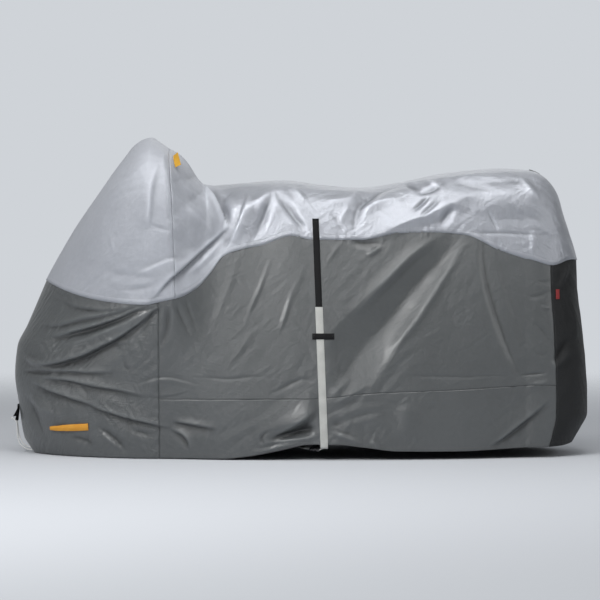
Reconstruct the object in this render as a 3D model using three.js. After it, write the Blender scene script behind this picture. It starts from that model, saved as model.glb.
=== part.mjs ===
// Fitted motorcycle cover, draped over a vehicle that is left out.
// Millimetres, +X to the rear, +Z up, floor at z = 0, near (left) side at -Y.
import * as THREE from 'three';

// Cloth, seams and trim
const SHEET = 2.0;
const SEAM_GAP = 0.6;
const SEAT_GAP = 0.8;
const WEBBING = 1.8;
const TAB = 1.2;

// First and last upright section, each the start of a rounded end
const BARS_X = -580;
const TAIL_X = 870;
const FRONT_SHARPNESS = 1.25;
const REAR_SHARPNESS = 0.85;
const END_DROP = 3;

// Seams, as positions along the cover; the hood seam leans forward towards the top
const SKIRT_SEAM_X = -545;
const HOOD_SEAM_X = -480;
const HOOD_LEAN = -38;
const LEAN_END_X = -330;
const TAIL_SEAM_TURN = 2.26;
const BELT_LANE = { from: 35, to: 115 };

// Number of cells along and up the cover
const FRONT_CELLS = 12;
const FRONT_LANE_CELLS = 15;
const REAR_LANE_CELLS = 21;
const TAIL_SEAM_CELLS = 2;
const REAR_CELLS = 6;
const HEM_CELLS = 5;
const SIDE_CELLS = 12;
const SILVER_CELLS = 11;

// How the folds run out: narrowest one the cells can carry, fade at the ends, calm at the centre line
const NARROWEST_FOLD = 48;
const FOLD_STEPS = 12;
const FOLD_FADE = 0.6;
const CENTRE_CALM = 110;

// Small steps for slopes on the surface, and the margins kept from its ends and its top line
const SLOPE_STEP = 0.004;
const END_MARGIN = 0.012;
const TOP_MARGIN = 0.015;
const ON_LINE = 0.001;

// Centre-line outline at the front, from the hem to the silver edge and on to the hood's peak
const FRONT_LOWER = [
  { x: -1060, z: 0 },
  { x: -1100, z: 65 },
  { x: -1120, z: 195 },
  { x: -1135, z: 310 },
  { x: -1125, z: 420 },
  { x: -1085, z: 505 },
  { x: -1005, z: 690 },
];
const FRONT_UPPER = [
  { x: -1005, z: 690 },
  { x: -955, z: 785 },
  { x: -875, z: 915 },
  { x: -795, z: 1015 },
  { x: -715, z: 1125 },
  { x: -680, z: 1185 },
  { x: -630, z: 1230 },
  { x: BARS_X, z: 1245 },
];

// Centre-line outline at the rear, from the hem to the silver edge and on to the top of the tail
const REAR_LOWER = [
  { x: 1075, z: 50 },
  { x: 1110, z: 105 },
  { x: 1135, z: 160 },
  { x: 1135, z: 230 },
  { x: 1125, z: 385 },
  { x: 1110, z: 530 },
  { x: 1095, z: 640 },
  { x: 1090, z: 770 },
];
const REAR_UPPER = [
  { x: 1090, z: 770 },
  { x: 1065, z: 855 },
  { x: 1040, z: 930 },
  { x: 1020, z: 1005 },
  { x: 990, z: 1055 },
  { x: 935, z: 1100 },
  { x: TAIL_X, z: 1120 },
];

// Top line from the hood's peak over the tank and the seat to the tail
const RIDGE = [
  { x: BARS_X, z: 1245 },
  { x: -560, z: 1230 },
  { x: -520, z: 1202 },
  { x: -495, z: 1190 },
  { x: -465, z: 1165 },
  { x: -410, z: 1085 },
  { x: -385, z: 1055 },
  { x: -240, z: 1065 },
  { x: -60, z: 1077 },
  { x: 75, z: 1060 },
  { x: 235, z: 1048 },
  { x: 395, z: 1070 },
  { x: 555, z: 1103 },
  { x: 710, z: 1120 },
  { x: 790, z: 1124 },
  { x: TAIL_X, z: 1120 },
];

// Lower edge of the silver cloth, the level seam above the hem, and the hem
const SILVER_EDGE = [
  { x: BARS_X, z: 605 },
  { x: -520, z: 618 },
  { x: -460, z: 633 },
  { x: -395, z: 670 },
  { x: -350, z: 720 },
  { x: -295, z: 790 },
  { x: -235, z: 812 },
  { x: -150, z: 830 },
  { x: -35, z: 866 },
  { x: 40, z: 852 },
  { x: 230, z: 850 },
  { x: 385, z: 875 },
  { x: 500, z: 880 },
  { x: 635, z: 870 },
  { x: 770, z: 812 },
  { x: TAIL_X, z: 782 },
];
const LEVEL_SEAM = [
  { x: BARS_X, z: 230 },
  { x: 50, z: 234 },
  { x: 270, z: 254 },
  { x: 600, z: 266 },
  { x: TAIL_X, z: 280 },
];
const HEM = [
  { x: BARS_X, z: 1 },
  { x: -300, z: 3 },
  { x: -195, z: 14 },
  { x: -80, z: 36 },
  { x: 40, z: 60 },
  { x: 130, z: 60 },
  { x: 225, z: 50 },
  { x: 380, z: 32 },
  { x: 600, z: 30 },
  { x: TAIL_X, z: 40 },
];

// Half widths of each upright section at the hem, half way up, the silver edge, the shoulder and the crown
const SECTIONS = [
  { x: BARS_X, hem: 300, belly: 340, edge: 372, shoulder: 448, rise: 1150, crown: 430 },
  { x: -500, hem: 308, belly: 342, edge: 372, shoulder: 455, rise: 1140, crown: 440 },
  { x: -430, hem: 322, belly: 348, edge: 352, shoulder: 372, rise: 1060, crown: 325 },
  { x: -370, hem: 335, belly: 352, edge: 318, shoulder: 285, rise: 1000, crown: 225 },
  { x: -290, hem: 350, belly: 352, edge: 280, shoulder: 225, rise: 1010, crown: 170 },
  { x: -150, hem: 365, belly: 350, edge: 262, shoulder: 235, rise: 1030, crown: 175 },
  { x: 80, hem: 375, belly: 345, edge: 255, shoulder: 235, rise: 1020, crown: 170 },
  { x: 300, hem: 365, belly: 335, edge: 248, shoulder: 225, rise: 1015, crown: 160 },
  { x: 600, hem: 330, belly: 310, edge: 242, shoulder: 235, rise: 1070, crown: 170 },
  { x: TAIL_X, hem: 270, belly: 265, edge: 232, shoulder: 230, rise: 1075, crown: 170 },
];

// Folds in side view: start, middle and end, reach to the left and right of that line, and height
const LEFT_FOLDS = [
  { x1: -1035, z1: 505, x2: -800, z2: 540, x3: -585, z3: 600, left: 30, right: 30, height: -9 },
  { x1: -980, z1: 465, x2: -800, z2: 515, x3: -555, z3: 605, left: 34, right: 30, height: -13 },
  { x1: -935, z1: 435, x2: -740, z2: 505, x3: -585, z3: 580, left: 40, right: 40, height: 15 },
  { x1: -1070, z1: 355, x2: -810, z2: 415, x3: -525, z3: 600, left: 30, right: 44, height: -26 },
  { x1: -1060, z1: 335, x2: -895, z2: 330, x3: -705, z3: 335, left: 30, right: 30, height: -12 },
  { x1: -1025, z1: 305, x2: -780, z2: 280, x3: -560, z3: 225, left: 34, right: 40, height: -16 },
  { x1: -675, z1: 150, x2: -580, z2: 135, x3: -470, z3: 115, left: 60, right: 60, height: -14 },
  { x1: -795, z1: 130, x2: -740, z2: 85, x3: -670, z3: 20, left: 40, right: 40, height: -12 },
  { x1: 475, z1: 825, x2: 305, z2: 675, x3: 110, z3: 480, left: 40, right: 36, height: 17 },
  { x1: 495, z1: 785, x2: 325, z2: 575, x3: 130, z3: 335, left: 40, right: 40, height: -20 },
  { x1: 600, z1: 840, x2: 410, z2: 540, x3: 120, z3: 235, left: 34, right: 90, height: 32 },
  { x1: 110, z1: 230, x2: -5, z2: 180, x3: -135, z3: 80, left: 40, right: 60, height: 24 },
  { x1: 90, z1: 140, x2: -5, z2: 112, x3: -100, z3: 95, left: 40, right: 34, height: -22 },
  { x1: 700, z1: 830, x2: 745, z2: 575, x3: 865, z3: 310, left: 40, right: 40, height: -20 },
  { x1: 735, z1: 805, x2: 800, z2: 575, x3: 915, z3: 335, left: 50, right: 40, height: 14 },
  { x1: 725, z1: 45, x2: 840, z2: 120, x3: 955, z3: 220, left: 44, right: 44, height: -16 },
  { x1: -370, z1: 1040, x2: -320, z2: 975, x3: -285, z3: 870, left: 24, right: 100, height: 46 },
  { x1: -270, z1: 905, x2: -420, z2: 765, x3: -585, z3: 610, left: 34, right: 34, height: -36 },
  { x1: -300, z1: 830, x2: -365, z2: 765, x3: -450, z3: 690, left: 30, right: 30, height: 18 },
  { x1: -540, z1: 1160, x2: -530, z2: 1120, x3: -515, z3: 1060, left: 50, right: 50, height: 26 },
  { x1: -220, z1: 985, x2: -230, z2: 950, x3: -290, z3: 880, left: 34, right: 34, height: -16 },
  { x1: -120, z1: 1010, x2: -145, z2: 945, x3: -165, z3: 880, left: 34, right: 34, height: -12 },
  { x1: -95, z1: 1010, x2: -35, z2: 935, x3: 30, z3: 860, left: 34, right: 34, height: -13 },
  { x1: 385, z1: 1050, x2: 260, z2: 1015, x3: 215, z3: 905, left: 34, right: 44, height: -16 },
  { x1: 695, z1: 1025, x2: 480, z2: 945, x3: 270, z3: 860, left: 34, right: 40, height: 14 },
  { x1: 640, z1: 1000, x2: 835, z2: 975, x3: 970, z3: 1035, left: 34, right: 34, height: -11 },
];
const RIGHT_FOLDS = [
  { x1: -1020, z1: 390, x2: -790, z2: 470, x3: -540, z3: 590, left: 50, right: 50, height: -20 },
  { x1: -980, z1: 300, x2: -780, z2: 300, x3: -580, z3: 250, left: 50, right: 50, height: -14 },
  { x1: 560, z1: 820, x2: 330, z2: 560, x3: 130, z3: 260, left: 60, right: 60, height: 22 },
  { x1: -60, z1: 780, x2: -130, z2: 480, x3: -240, z3: 200, left: 60, right: 60, height: -16 },
  { x1: 730, z1: 800, x2: 760, z2: 560, x3: 860, z3: 300, left: 55, right: 55, height: -17 },
  { x1: -375, z1: 1035, x2: -325, z2: 975, x3: -290, z3: 870, left: 30, right: 100, height: 40 },
  { x1: -280, z1: 890, x2: -430, z2: 750, x3: -580, z3: 620, left: 40, right: 40, height: -26 },
  { x1: 360, z1: 1045, x2: 240, z2: 1000, x3: 200, z3: 900, left: 44, right: 44, height: -13 },
  { x1: 640, z1: 1000, x2: 820, z2: 975, x3: 960, z3: 1030, left: 40, right: 40, height: -10 },
];

// Belly belt in side view: ends and join, widths, and the lane of cloth that it presses flat
const BELT = { topX: 57, footX: 92, topZ: 925, joinZ: 585, width: 25, footWidth: 29 };
const BELT_PRESS = { reach: 95, edge: 4 };
const BELT_STEPS = { upper: 12, lower: 18, bend: 4, keeper: 12, cross: 24 };

// Turn of the belt under the hem: last place on the cloth, drop below the hem and radius of the bend
const BELT_FOOT = { rise: 8, under: 6, bend: 8, lead: 16 };
const KEEPER = { from: 44, to: 128, z: 473, height: 23, beside: 4, ramp: 10, clear: 0.5 };

// Buckle that hangs under the hem, its heading in plan, and its two outlines from the mouth to the end
const BUCKLE = { turn: (3 * Math.PI) / 4, width: 36, socketThick: 9, plugThick: 7 };
const SOCKET = [
  { x: 0, inset: 3 },
  { x: 3, inset: 0 },
  { x: 12, inset: 0 },
  { x: 15, inset: 5 },
  { x: 24, inset: 5 },
  { x: 27, inset: 0 },
  { x: 30, inset: 1 },
];
const PLUG = [
  { x: 0, inset: 4 },
  { x: 7, inset: 4 },
  { x: 10, inset: 1 },
  { x: 17, inset: 1 },
  { x: 20, inset: 4 },
];

// Cross belt under the hem: straight leads at its ends, and how it sags between them
const CROSS = { nearLead: 40, farLead: 60, nearX: 0, nearY: -130, farX: 50, farY: 120, sag: 6 };

// Front tab with two legs that hang from one sewn end, seen from the side
const CORD_TAB = { x: -1120, z: 190, width: 20, thick: 2.4, fork: 20 };
const CORD_TAB_LEGS = { outerX: -1136, outerZ: 141, innerX: -1128.5, innerZ: 124 };

// Draw-cord strands: routes from the tab to the front hem, one at each side of the centre line
const CORD = { radius: 2.4, apart: 6, sides: 8, step: 12 };
const CORD_NEAR = [
  { x: -1152, z: 137 },
  { x: -1141, z: 131 },
  { x: -1131.2, z: 121.5 },
  { x: -1128, z: 106 },
  { x: -1127, z: 82 },
  { x: -1124, z: 54 },
  { x: -1114, z: 30 },
  { x: -1094, z: 14 },
  { x: -1066.4, z: 7 },
];
const CORD_FAR = [
  { x: -1128.5, z: 123.4 },
  { x: -1124, z: 92 },
  { x: -1119, z: 60 },
  { x: -1108, z: 36 },
  { x: -1092, z: 23 },
  { x: -1073.4, z: 17 },
];

// Sewn-on tabs: ends of the centre line in side view, width, and how far the free end stands off
const PULL_TAB = { x1: -829, z1: 117, x2: -979, z2: 105, width: 27, tip: 14, standOff: 11 };
const HOOD_TAB = { x1: -492, z1: 1166, x2: -481, z2: 1120, width: 26, tip: 26, standOff: 3 };
const SEAM_TAB = { x1: 997, z1: 651, x2: 996, z2: 613, width: 17, tip: 17, standOff: 2 };
const TAIL_TAB = { x1: 906, x2: 948, width: 25 };
const TAB_STEPS = 6;
const TIP_TAPER = 3;

// Colours
const SILVER = { colour: 0xa9adb3, roughness: 0.38, metalness: 0.25 };
const GREY = { colour: 0x55595b, roughness: 0.5, metalness: 0.05 };
const BLACK = { colour: 0x232526, roughness: 0.6, metalness: 0 };
const WHITE = { colour: 0xd2d3d0, roughness: 0.7, metalness: 0 };
const ORANGE = { colour: 0xe39a2e, roughness: 0.65, metalness: 0 };
const YELLOW = { colour: 0xd9a92c, roughness: 0.6, metalness: 0 };
const RED = { colour: 0x8a2f30, roughness: 0.65, metalness: 0 };

const cover = new THREE.Group();
cover.name = 'motorcycle_cover';

// Smooth curve through table rows with no overshoot between them
function smooth(keys, values) {
  const last = keys.length - 1;
  const slope = keys.slice(1).map((key, n) => (values[n + 1] - values[n]) / (key - keys[n]));
  const lean = keys.map((_, n) => {
    if (n === 0) return slope[0];
    if (n === last) return slope[last - 1];
    if (slope[n - 1] * slope[n] <= 0) return 0;
    return (2 * slope[n - 1] * slope[n]) / (slope[n - 1] + slope[n]);
  });
  return (at) => {
    const key = Math.min(Math.max(at, keys[0]), keys[last]);
    let n = 0;
    while (n < last - 1 && key > keys[n + 1]) n += 1;
    const span = keys[n + 1] - keys[n];
    const t = (key - keys[n]) / span;
    const keep = (1 + 2 * t) * (1 - t) * (1 - t);
    const rise = t * (1 - t) * (1 - t) * span;
    const fall = t * t * (t - 1) * span;
    return keep * values[n] + rise * lean[n] + (1 - keep) * values[n + 1] + fall * lean[n + 1];
  };
}

// Height, or another named column, of a table as a function of x
function column(rows, name) {
  return smooth(rows.map((row) => row.x), rows.map((row) => row[name]));
}

// Outline as a function of the share of its length
function outline(rows) {
  const reach = [0];
  for (let n = 1; n < rows.length; n += 1) {
    reach.push(reach[n - 1] + Math.hypot(rows[n].x - rows[n - 1].x, rows[n].z - rows[n - 1].z));
  }
  const share = reach.map((length) => length / reach[rows.length - 1]);
  const x = smooth(share, rows.map((row) => row.x));
  const z = smooth(share, rows.map((row) => row.z));
  return (at) => ({ x: x(at), z: z(at) });
}

const frontLower = outline(FRONT_LOWER);
const frontUpper = outline(FRONT_UPPER);
const rearLower = outline(REAR_LOWER);
const rearUpper = outline(REAR_UPPER);
const ridgeZ = column(RIDGE, 'z');
const edgeZ = column(SILVER_EDGE, 'z');
const levelZ = column(LEVEL_SEAM, 'z');
const hemZ = column(HEM, 'z');
const hemY = column(SECTIONS, 'hem');
const bellyY = column(SECTIONS, 'belly');
const edgeY = column(SECTIONS, 'edge');
const shoulderY = column(SECTIONS, 'shoulder');
const shoulderZ = column(SECTIONS, 'rise');
const crownY = column(SECTIONS, 'crown');
const seamLean = smooth([BARS_X, HOOD_SEAM_X, LEAN_END_X], [0, HOOD_LEAN, 0]);

// Half section at x: v runs from 0 at the hem to 1 at the silver edge and 2 at the top line
function section(x, v) {
  const low = edgeY(x);
  if (v <= 1) {
    const bend = 4 * v * (1 - v) * (bellyY(x) - (hemY(x) + low) / 2);
    return { x, y: hemY(x) + (low - hemY(x)) * v + bend, z: hemZ(x) + (edgeZ(x) - hemZ(x)) * v };
  }
  const t = v - 1;
  const s = 1 - t;
  const at = x + seamLean(x) * t;
  const top = ridgeZ(x + seamLean(x));
  const y = s * s * s * low + 3 * s * s * t * shoulderY(x) + 3 * s * t * t * crownY(x);
  const z = s * s * s * edgeZ(x) + 3 * s * s * t * shoulderZ(x) + (3 * s * t * t + t * t * t) * top;
  return { x: at, y, z };
}

// Rounded end between a centre-line outline and an upright section
function roundedEnd(root, tip, turn, sharpness) {
  const angle = (turn * Math.PI) / 2;
  const facing = Math.max(Math.cos(angle), 0);
  return {
    x: root.x + (tip.x - root.x) * facing ** sharpness,
    y: root.y * Math.sin(angle) ** sharpness,
    z: tip.z + (root.z - tip.z) * (1 - facing ** END_DROP),
  };
}

// Smooth form without folds: u runs 0 to 1 round the front, to 2 along the side and to 3 round the rear
function form(side, u, v) {
  let spot;
  if (u < 1) {
    const tip = v <= 1 ? frontLower(v) : frontUpper(v - 1);
    spot = roundedEnd(section(BARS_X, v), tip, u, FRONT_SHARPNESS);
  } else if (u <= 2) {
    spot = section(BARS_X + (TAIL_X - BARS_X) * (u - 1), v);
  } else {
    const tip = v <= 1 ? rearLower(v) : rearUpper(v - 1);
    spot = roundedEnd(section(TAIL_X, v), tip, 3 - u, REAR_SHARPNESS);
  }
  return new THREE.Vector3(spot.x, side * spot.y, spot.z);
}

// Outward direction of a surface function, away from the ends where its lines meet
function outward(surface, side, u, v) {
  const midU = Math.min(Math.max(u, END_MARGIN), 3 - END_MARGIN);
  const midV = Math.min(Math.max(v, SLOPE_STEP), 2 - TOP_MARGIN);
  const alongU = surface(side, midU + SLOPE_STEP, midV).sub(surface(side, midU - SLOPE_STEP, midV));
  const alongV = surface(side, midU, midV + SLOPE_STEP).sub(surface(side, midU, midV - SLOPE_STEP));
  const normal = side < 0 ? alongU.cross(alongV) : alongV.cross(alongU);
  if (u < ON_LINE || u > 3 - ON_LINE || v > 2 - ON_LINE) normal.y = 0;
  return normal.normalize();
}

// Folds as short chains of points, each on a curve through its start, middle and end
function traced(folds) {
  return folds.map((fold) => {
    const bendX = 2 * fold.x2 - (fold.x1 + fold.x3) / 2;
    const bendZ = 2 * fold.z2 - (fold.z1 + fold.z3) / 2;
    const chain = [];
    for (let n = 0; n <= FOLD_STEPS; n += 1) {
      const t = n / FOLD_STEPS;
      const s = 1 - t;
      chain.push({
        x: s * s * fold.x1 + 2 * s * t * bendX + t * t * fold.x3,
        z: s * s * fold.z1 + 2 * s * t * bendZ + t * t * fold.z3,
      });
    }
    return { ...fold, chain };
  });
}

const leftFolds = traced(LEFT_FOLDS);
const rightFolds = traced(RIGHT_FOLDS);

// Lift of one fold at a place in side view
function foldLift(fold, x, z) {
  let nearest = Infinity;
  let share = 0;
  let turn = 0;
  for (let n = 0; n < FOLD_STEPS; n += 1) {
    const a = fold.chain[n];
    const b = fold.chain[n + 1];
    const dx = b.x - a.x;
    const dz = b.z - a.z;
    const t = Math.min(Math.max(((x - a.x) * dx + (z - a.z) * dz) / (dx * dx + dz * dz), 0), 1);
    const gap = Math.hypot(x - a.x - t * dx, z - a.z - t * dz);
    if (gap < nearest) {
      nearest = gap;
      share = (n + t) / FOLD_STEPS;
      turn = dx * (z - a.z) - dz * (x - a.x);
    }
  }
  const reach = Math.max(turn > 0 ? fold.left : fold.right, NARROWEST_FOLD);
  const fade = Math.sin(Math.PI * share) ** FOLD_FADE;
  return fold.height * fade * Math.exp(-((nearest / reach) ** 2));
}

// Centre of the belt at a height
function beltX(z) {
  return BELT.footX + ((BELT.topX - BELT.footX) * z) / BELT.topZ;
}

// Draped surface: the form with its folds, pressed flat under the belt
function drape(side, u, v) {
  const spot = form(side, u, v);
  const folds = side < 0 ? leftFolds : rightFolds;
  let lift = 0;
  for (const fold of folds) {
    lift += foldLift(fold, spot.x, spot.z);
  }
  const free = 1 - Math.exp(-(((spot.x - beltX(spot.z)) / BELT_PRESS.reach) ** BELT_PRESS.edge));
  const aside = 1 - Math.exp(-((spot.y / CENTRE_CALM) ** 2));
  return spot.addScaledVector(outward(form, side, u, v), lift * free * aside);
}

// Evenly spaced values from the first up to but without the last
function spread(first, last, cells) {
  return Array.from({ length: cells }, (_, n) => first + ((last - first) * n) / cells);
}

// Place along the cover of an upright section
function along(x) {
  return 1 + (x - BARS_X) / (TAIL_X - BARS_X);
}

// Grid lines along the cover, with one on each upright seam and at each edge of the belt's lane
const LINES = [
  ...spread(0, 1, FRONT_CELLS),
  1,
  along(SKIRT_SEAM_X),
  along((SKIRT_SEAM_X + HOOD_SEAM_X) / 2),
  ...spread(along(HOOD_SEAM_X), along(BELT_LANE.from), FRONT_LANE_CELLS),
  along(BELT_LANE.from),
  ...spread(along(BELT_LANE.to), 2, REAR_LANE_CELLS),
  ...spread(2, TAIL_SEAM_TURN, TAIL_SEAM_CELLS),
  ...spread(TAIL_SEAM_TURN, 3, REAR_CELLS),
  3,
];
const LAST_LINE = LINES.length - 1;
const FRONT_RIB = LINES.indexOf(1);
const SKIRT_LINE = LINES.indexOf(along(SKIRT_SEAM_X));
const HOOD_LINE = LINES.indexOf(along(HOOD_SEAM_X));
const TAIL_RIB = LINES.indexOf(2);
const TAIL_LINE = LINES.indexOf(TAIL_SEAM_TURN);
const EDGE_ROW = HEM_CELLS + SIDE_CELLS;
const TOP_ROW = EDGE_ROW + SILVER_CELLS;

// Height share of a row: the level seam, the silver edge and the top line each fall on one
function rowShare(u, row) {
  const x = BARS_X + (TAIL_X - BARS_X) * Math.min(Math.max(u - 1, 0), 1);
  const seam = (levelZ(x) - hemZ(x)) / (edgeZ(x) - hemZ(x));
  if (row <= HEM_CELLS) return (seam * row) / HEM_CELLS;
  if (row <= EDGE_ROW) return seam + ((1 - seam) * (row - HEM_CELLS)) / SIDE_CELLS;
  return 1 + (row - EDGE_ROW) / SILVER_CELLS;
}

// Name of a grid point; the two sides share the centre line and the two peaks
function pointName(side, line, row) {
  if (row === TOP_ROW && line <= FRONT_RIB) return 'front peak';
  if (row === TOP_ROW && line >= TAIL_RIB) return 'rear peak';
  if (line === 0 || line === LAST_LINE || row === TOP_ROW) return `centre ${line} ${row}`;
  return `${side} ${line} ${row}`;
}

// Surface point and inward offset, moved off a seam by half its gap
function cloth(side, line, row, moveU, moveV) {
  let u = LINES[line];
  let v = rowShare(u, row);
  if (row === TOP_ROW && line < FRONT_RIB) u = 1;
  if (row === TOP_ROW && line > TAIL_RIB) u = 2;
  const onCentre = u === 0 || u === 3 || v === 2;
  const near = onCentre ? -1 : side;
  if (moveU !== 0) {
    const pace = drape(near, u + SLOPE_STEP, v).distanceTo(drape(near, u - SLOPE_STEP, v)) / (2 * SLOPE_STEP);
    u += (moveU * SEAM_GAP) / 2 / pace;
  }
  if (moveV !== 0) {
    const pace = drape(near, u, v + SLOPE_STEP).distanceTo(drape(near, u, v - SLOPE_STEP)) / (2 * SLOPE_STEP);
    v += (moveV * SEAM_GAP) / 2 / pace;
  }
  const outer = drape(near, u, v);
  if (onCentre) outer.y = 0;
  const inner = outer.clone().addScaledVector(outward(drape, near, u, v), -SHEET);
  return { outer, inner };
}

// Two triangles of a cell, split along the diagonal that lies nearer to the drape
function cellCorners(side, line, row) {
  const ring = [[line, row], [line + 1, row], [line + 1, row + 1], [line, row + 1]];
  const spots = ring.map(([i, j]) => cloth(side, i, j, 0, 0).outer);
  const midU = (LINES[line] + LINES[line + 1]) / 2;
  const middle = drape(side, midU, (rowShare(midU, row) + rowShare(midU, row + 1)) / 2);
  const rising = spots[0].clone().add(spots[2]).multiplyScalar(0.5).distanceTo(middle);
  const falling = spots[1].clone().add(spots[3]).multiplyScalar(0.5).distanceTo(middle);
  const split = rising <= falling ? [[0, 1, 2], [0, 2, 3]] : [[0, 1, 3], [1, 2, 3]];
  return split.map((trio) => trio.map((n) => ring[n]));
}

// Named mesh of a finished geometry
function addMesh(name, finish, geometry) {
  const material = new THREE.MeshStandardMaterial({
    color: finish.colour,
    roughness: finish.roughness,
    metalness: finish.metalness,
  });
  const mesh = new THREE.Mesh(geometry, material);
  mesh.name = name;
  cover.add(mesh);
}

// Closed mesh from points and triangles
function solid(name, finish, points, triangles) {
  const geometry = new THREE.BufferGeometry();
  const flat = triangles.flatMap((trio) => trio.flatMap((n) => points[n].toArray()));
  geometry.setAttribute('position', new THREE.Float32BufferAttribute(flat, 3));
  geometry.computeVertexNormals();
  addMesh(name, finish, geometry);
}

// Cells of a panel between two grid lines and two rows
function cellsBetween(sides, lines, rows) {
  const list = [];
  for (const side of sides) {
    for (let line = lines[0]; line < lines[1]; line += 1) {
      for (let row = rows[0]; row < rows[1]; row += 1) {
        list.push({ side, line, row });
      }
    }
  }
  return list;
}

// Closed sheet over a block of cells: the drape, its inner face and a wall along every free edge
function panel(name, finish, sides, lines, rows) {
  const cells = cellsBetween(sides, lines, rows);
  const corners = new Map();
  for (const { side, line, row } of cells) {
    for (const [i, j] of [[0, 0], [1, 0], [1, 1], [0, 1]]) {
      const key = pointName(side, line + i, row + j);
      const corner = corners.get(key) ?? { side, line: line + i, row: row + j, u: new Set(), v: new Set() };
      corner.u.add(1 - 2 * i);
      corner.v.add(1 - 2 * j);
      corners.set(key, corner);
    }
  }
  const index = new Map();
  const outer = [];
  const inner = [];
  for (const [key, corner] of corners) {
    const onEnd = corner.line === 0 || corner.line === LAST_LINE || key.endsWith('peak');
    const onFree = corner.row === 0 || corner.row === TOP_ROW;
    const moveU = corner.u.size === 1 && !onEnd ? [...corner.u][0] : 0;
    const moveV = corner.v.size === 1 && !onFree ? [...corner.v][0] : 0;
    const spot = cloth(corner.side, corner.line, corner.row, moveU, moveV);
    index.set(key, outer.length);
    outer.push(spot.outer);
    inner.push(spot.inner);
  }
  const skin = [];
  for (const { side, line, row } of cells) {
    for (const trio of cellCorners(side, line, row)) {
      const face = trio.map(([i, j]) => index.get(pointName(side, i, j)));
      if (new Set(face).size === 3) skin.push(side < 0 ? face : face.reverse());
    }
  }
  solid(name, finish, [...outer, ...inner], thickened(skin, outer, inner));
}

// Triangles of a skin, its inner copy and the walls, each wall split along its shorter diagonal
function thickened(skin, outer, inner) {
  const count = outer.length;
  const used = new Set(skin.flatMap(([a, b, c]) => [`${a} ${b}`, `${b} ${c}`, `${c} ${a}`]));
  const triangles = [];
  for (const [a, b, c] of skin) {
    triangles.push([a, b, c], [c + count, b + count, a + count]);
    for (const [p, q] of [[a, b], [b, c], [c, a]]) {
      if (used.has(`${q} ${p}`)) continue;
      if (outer[q].distanceTo(inner[p]) <= outer[p].distanceTo(inner[q])) {
        triangles.push([q, p, p + count], [q, p + count, q + count]);
      } else {
        triangles.push([q, p, q + count], [p, p + count, q + count]);
      }
    }
  }
  return triangles;
}

const LEFT = -1;
const RIGHT = 1;
const BOTH = [LEFT, RIGHT];
panel('hood_panel', SILVER, BOTH, [0, HOOD_LINE], [EDGE_ROW, TOP_ROW]);
panel('saddle_panel', SILVER, BOTH, [HOOD_LINE, LAST_LINE], [EDGE_ROW, TOP_ROW]);
panel('front_skirt', GREY, BOTH, [0, SKIRT_LINE], [0, EDGE_ROW]);
panel('tail_panel', BLACK, BOTH, [TAIL_LINE, LAST_LINE], [0, EDGE_ROW]);
for (const [side, word] of [[LEFT, 'left'], [RIGHT, 'right']]) {
  panel(`side_${word}`, GREY, [side], [SKIRT_LINE, TAIL_LINE], [HEM_CELLS, EDGE_ROW]);
  panel(`hem_${word}`, GREY, [side], [SKIRT_LINE, TAIL_LINE], [0, HEM_CELLS]);
}

// Outer facets of one side, to seat the trim on
function facets(side) {
  return cellsBetween([side], [0, LAST_LINE], [0, TOP_ROW]).flatMap(({ line, row }) => (
    cellCorners(side, line, row).map((trio) => (
      new THREE.Triangle(...trio.map(([i, j]) => cloth(side, i, j, 0, 0).outer))
    ))
  ));
}

const FACETS = { [LEFT]: facets(LEFT), [RIGHT]: facets(RIGHT) };

// Place on the facets under a side-view position, or under a plan position when seen from above
function seat(side, a, b, above = false) {
  const probe = new THREE.Vector3(a, b, 0);
  const share = new THREE.Vector3();
  const flat = new THREE.Triangle();
  let best = null;
  for (const facet of FACETS[side]) {
    for (const corner of ['a', 'b', 'c']) {
      const spot = facet[corner];
      flat[corner].set(spot.x, above ? spot.y : spot.z, 0);
    }
    if (flat.getArea() < ON_LINE) continue;
    flat.getBarycoord(probe, share);
    if (Math.min(share.x, share.y, share.z) < 0) continue;
    const at = new THREE.Vector3()
      .addScaledVector(facet.a, share.x)
      .addScaledVector(facet.b, share.y)
      .addScaledVector(facet.c, share.z);
    const better = best === null || (above ? at.z > best.z : Math.abs(at.y) > Math.abs(best.y));
    if (better) best = at;
  }
  return best;
}

// Flat band through stations, each with the middle of its underside, its width, thickness and directions
function band(name, finish, stations) {
  const points = stations.flatMap(({ at, across, up, width, thick }) => {
    const low = at.clone().addScaledVector(across, -width / 2);
    const high = at.clone().addScaledVector(across, width / 2);
    return [low, high, high.clone().addScaledVector(up, thick), low.clone().addScaledVector(up, thick)];
  });
  const last = points.length - 4;
  const triangles = [[0, 1, 2], [0, 2, 3], [last, last + 2, last + 1], [last, last + 3, last + 2]];
  for (let n = 0; n < last; n += 4) {
    for (let k = 0; k < 4; k += 1) {
      const a = n + k;
      const b = n + ((k + 1) % 4);
      triangles.push([a, a + 4, b], [b, a + 4, b + 4]);
    }
  }
  const edge = points[1].clone().sub(points[0]).cross(points[3].clone().sub(points[0]));
  const flip = edge.dot(points[4].clone().sub(points[0])) > 0;
  solid(name, finish, points, flip ? triangles.map((trio) => trio.slice().reverse()) : triangles);
}

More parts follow.
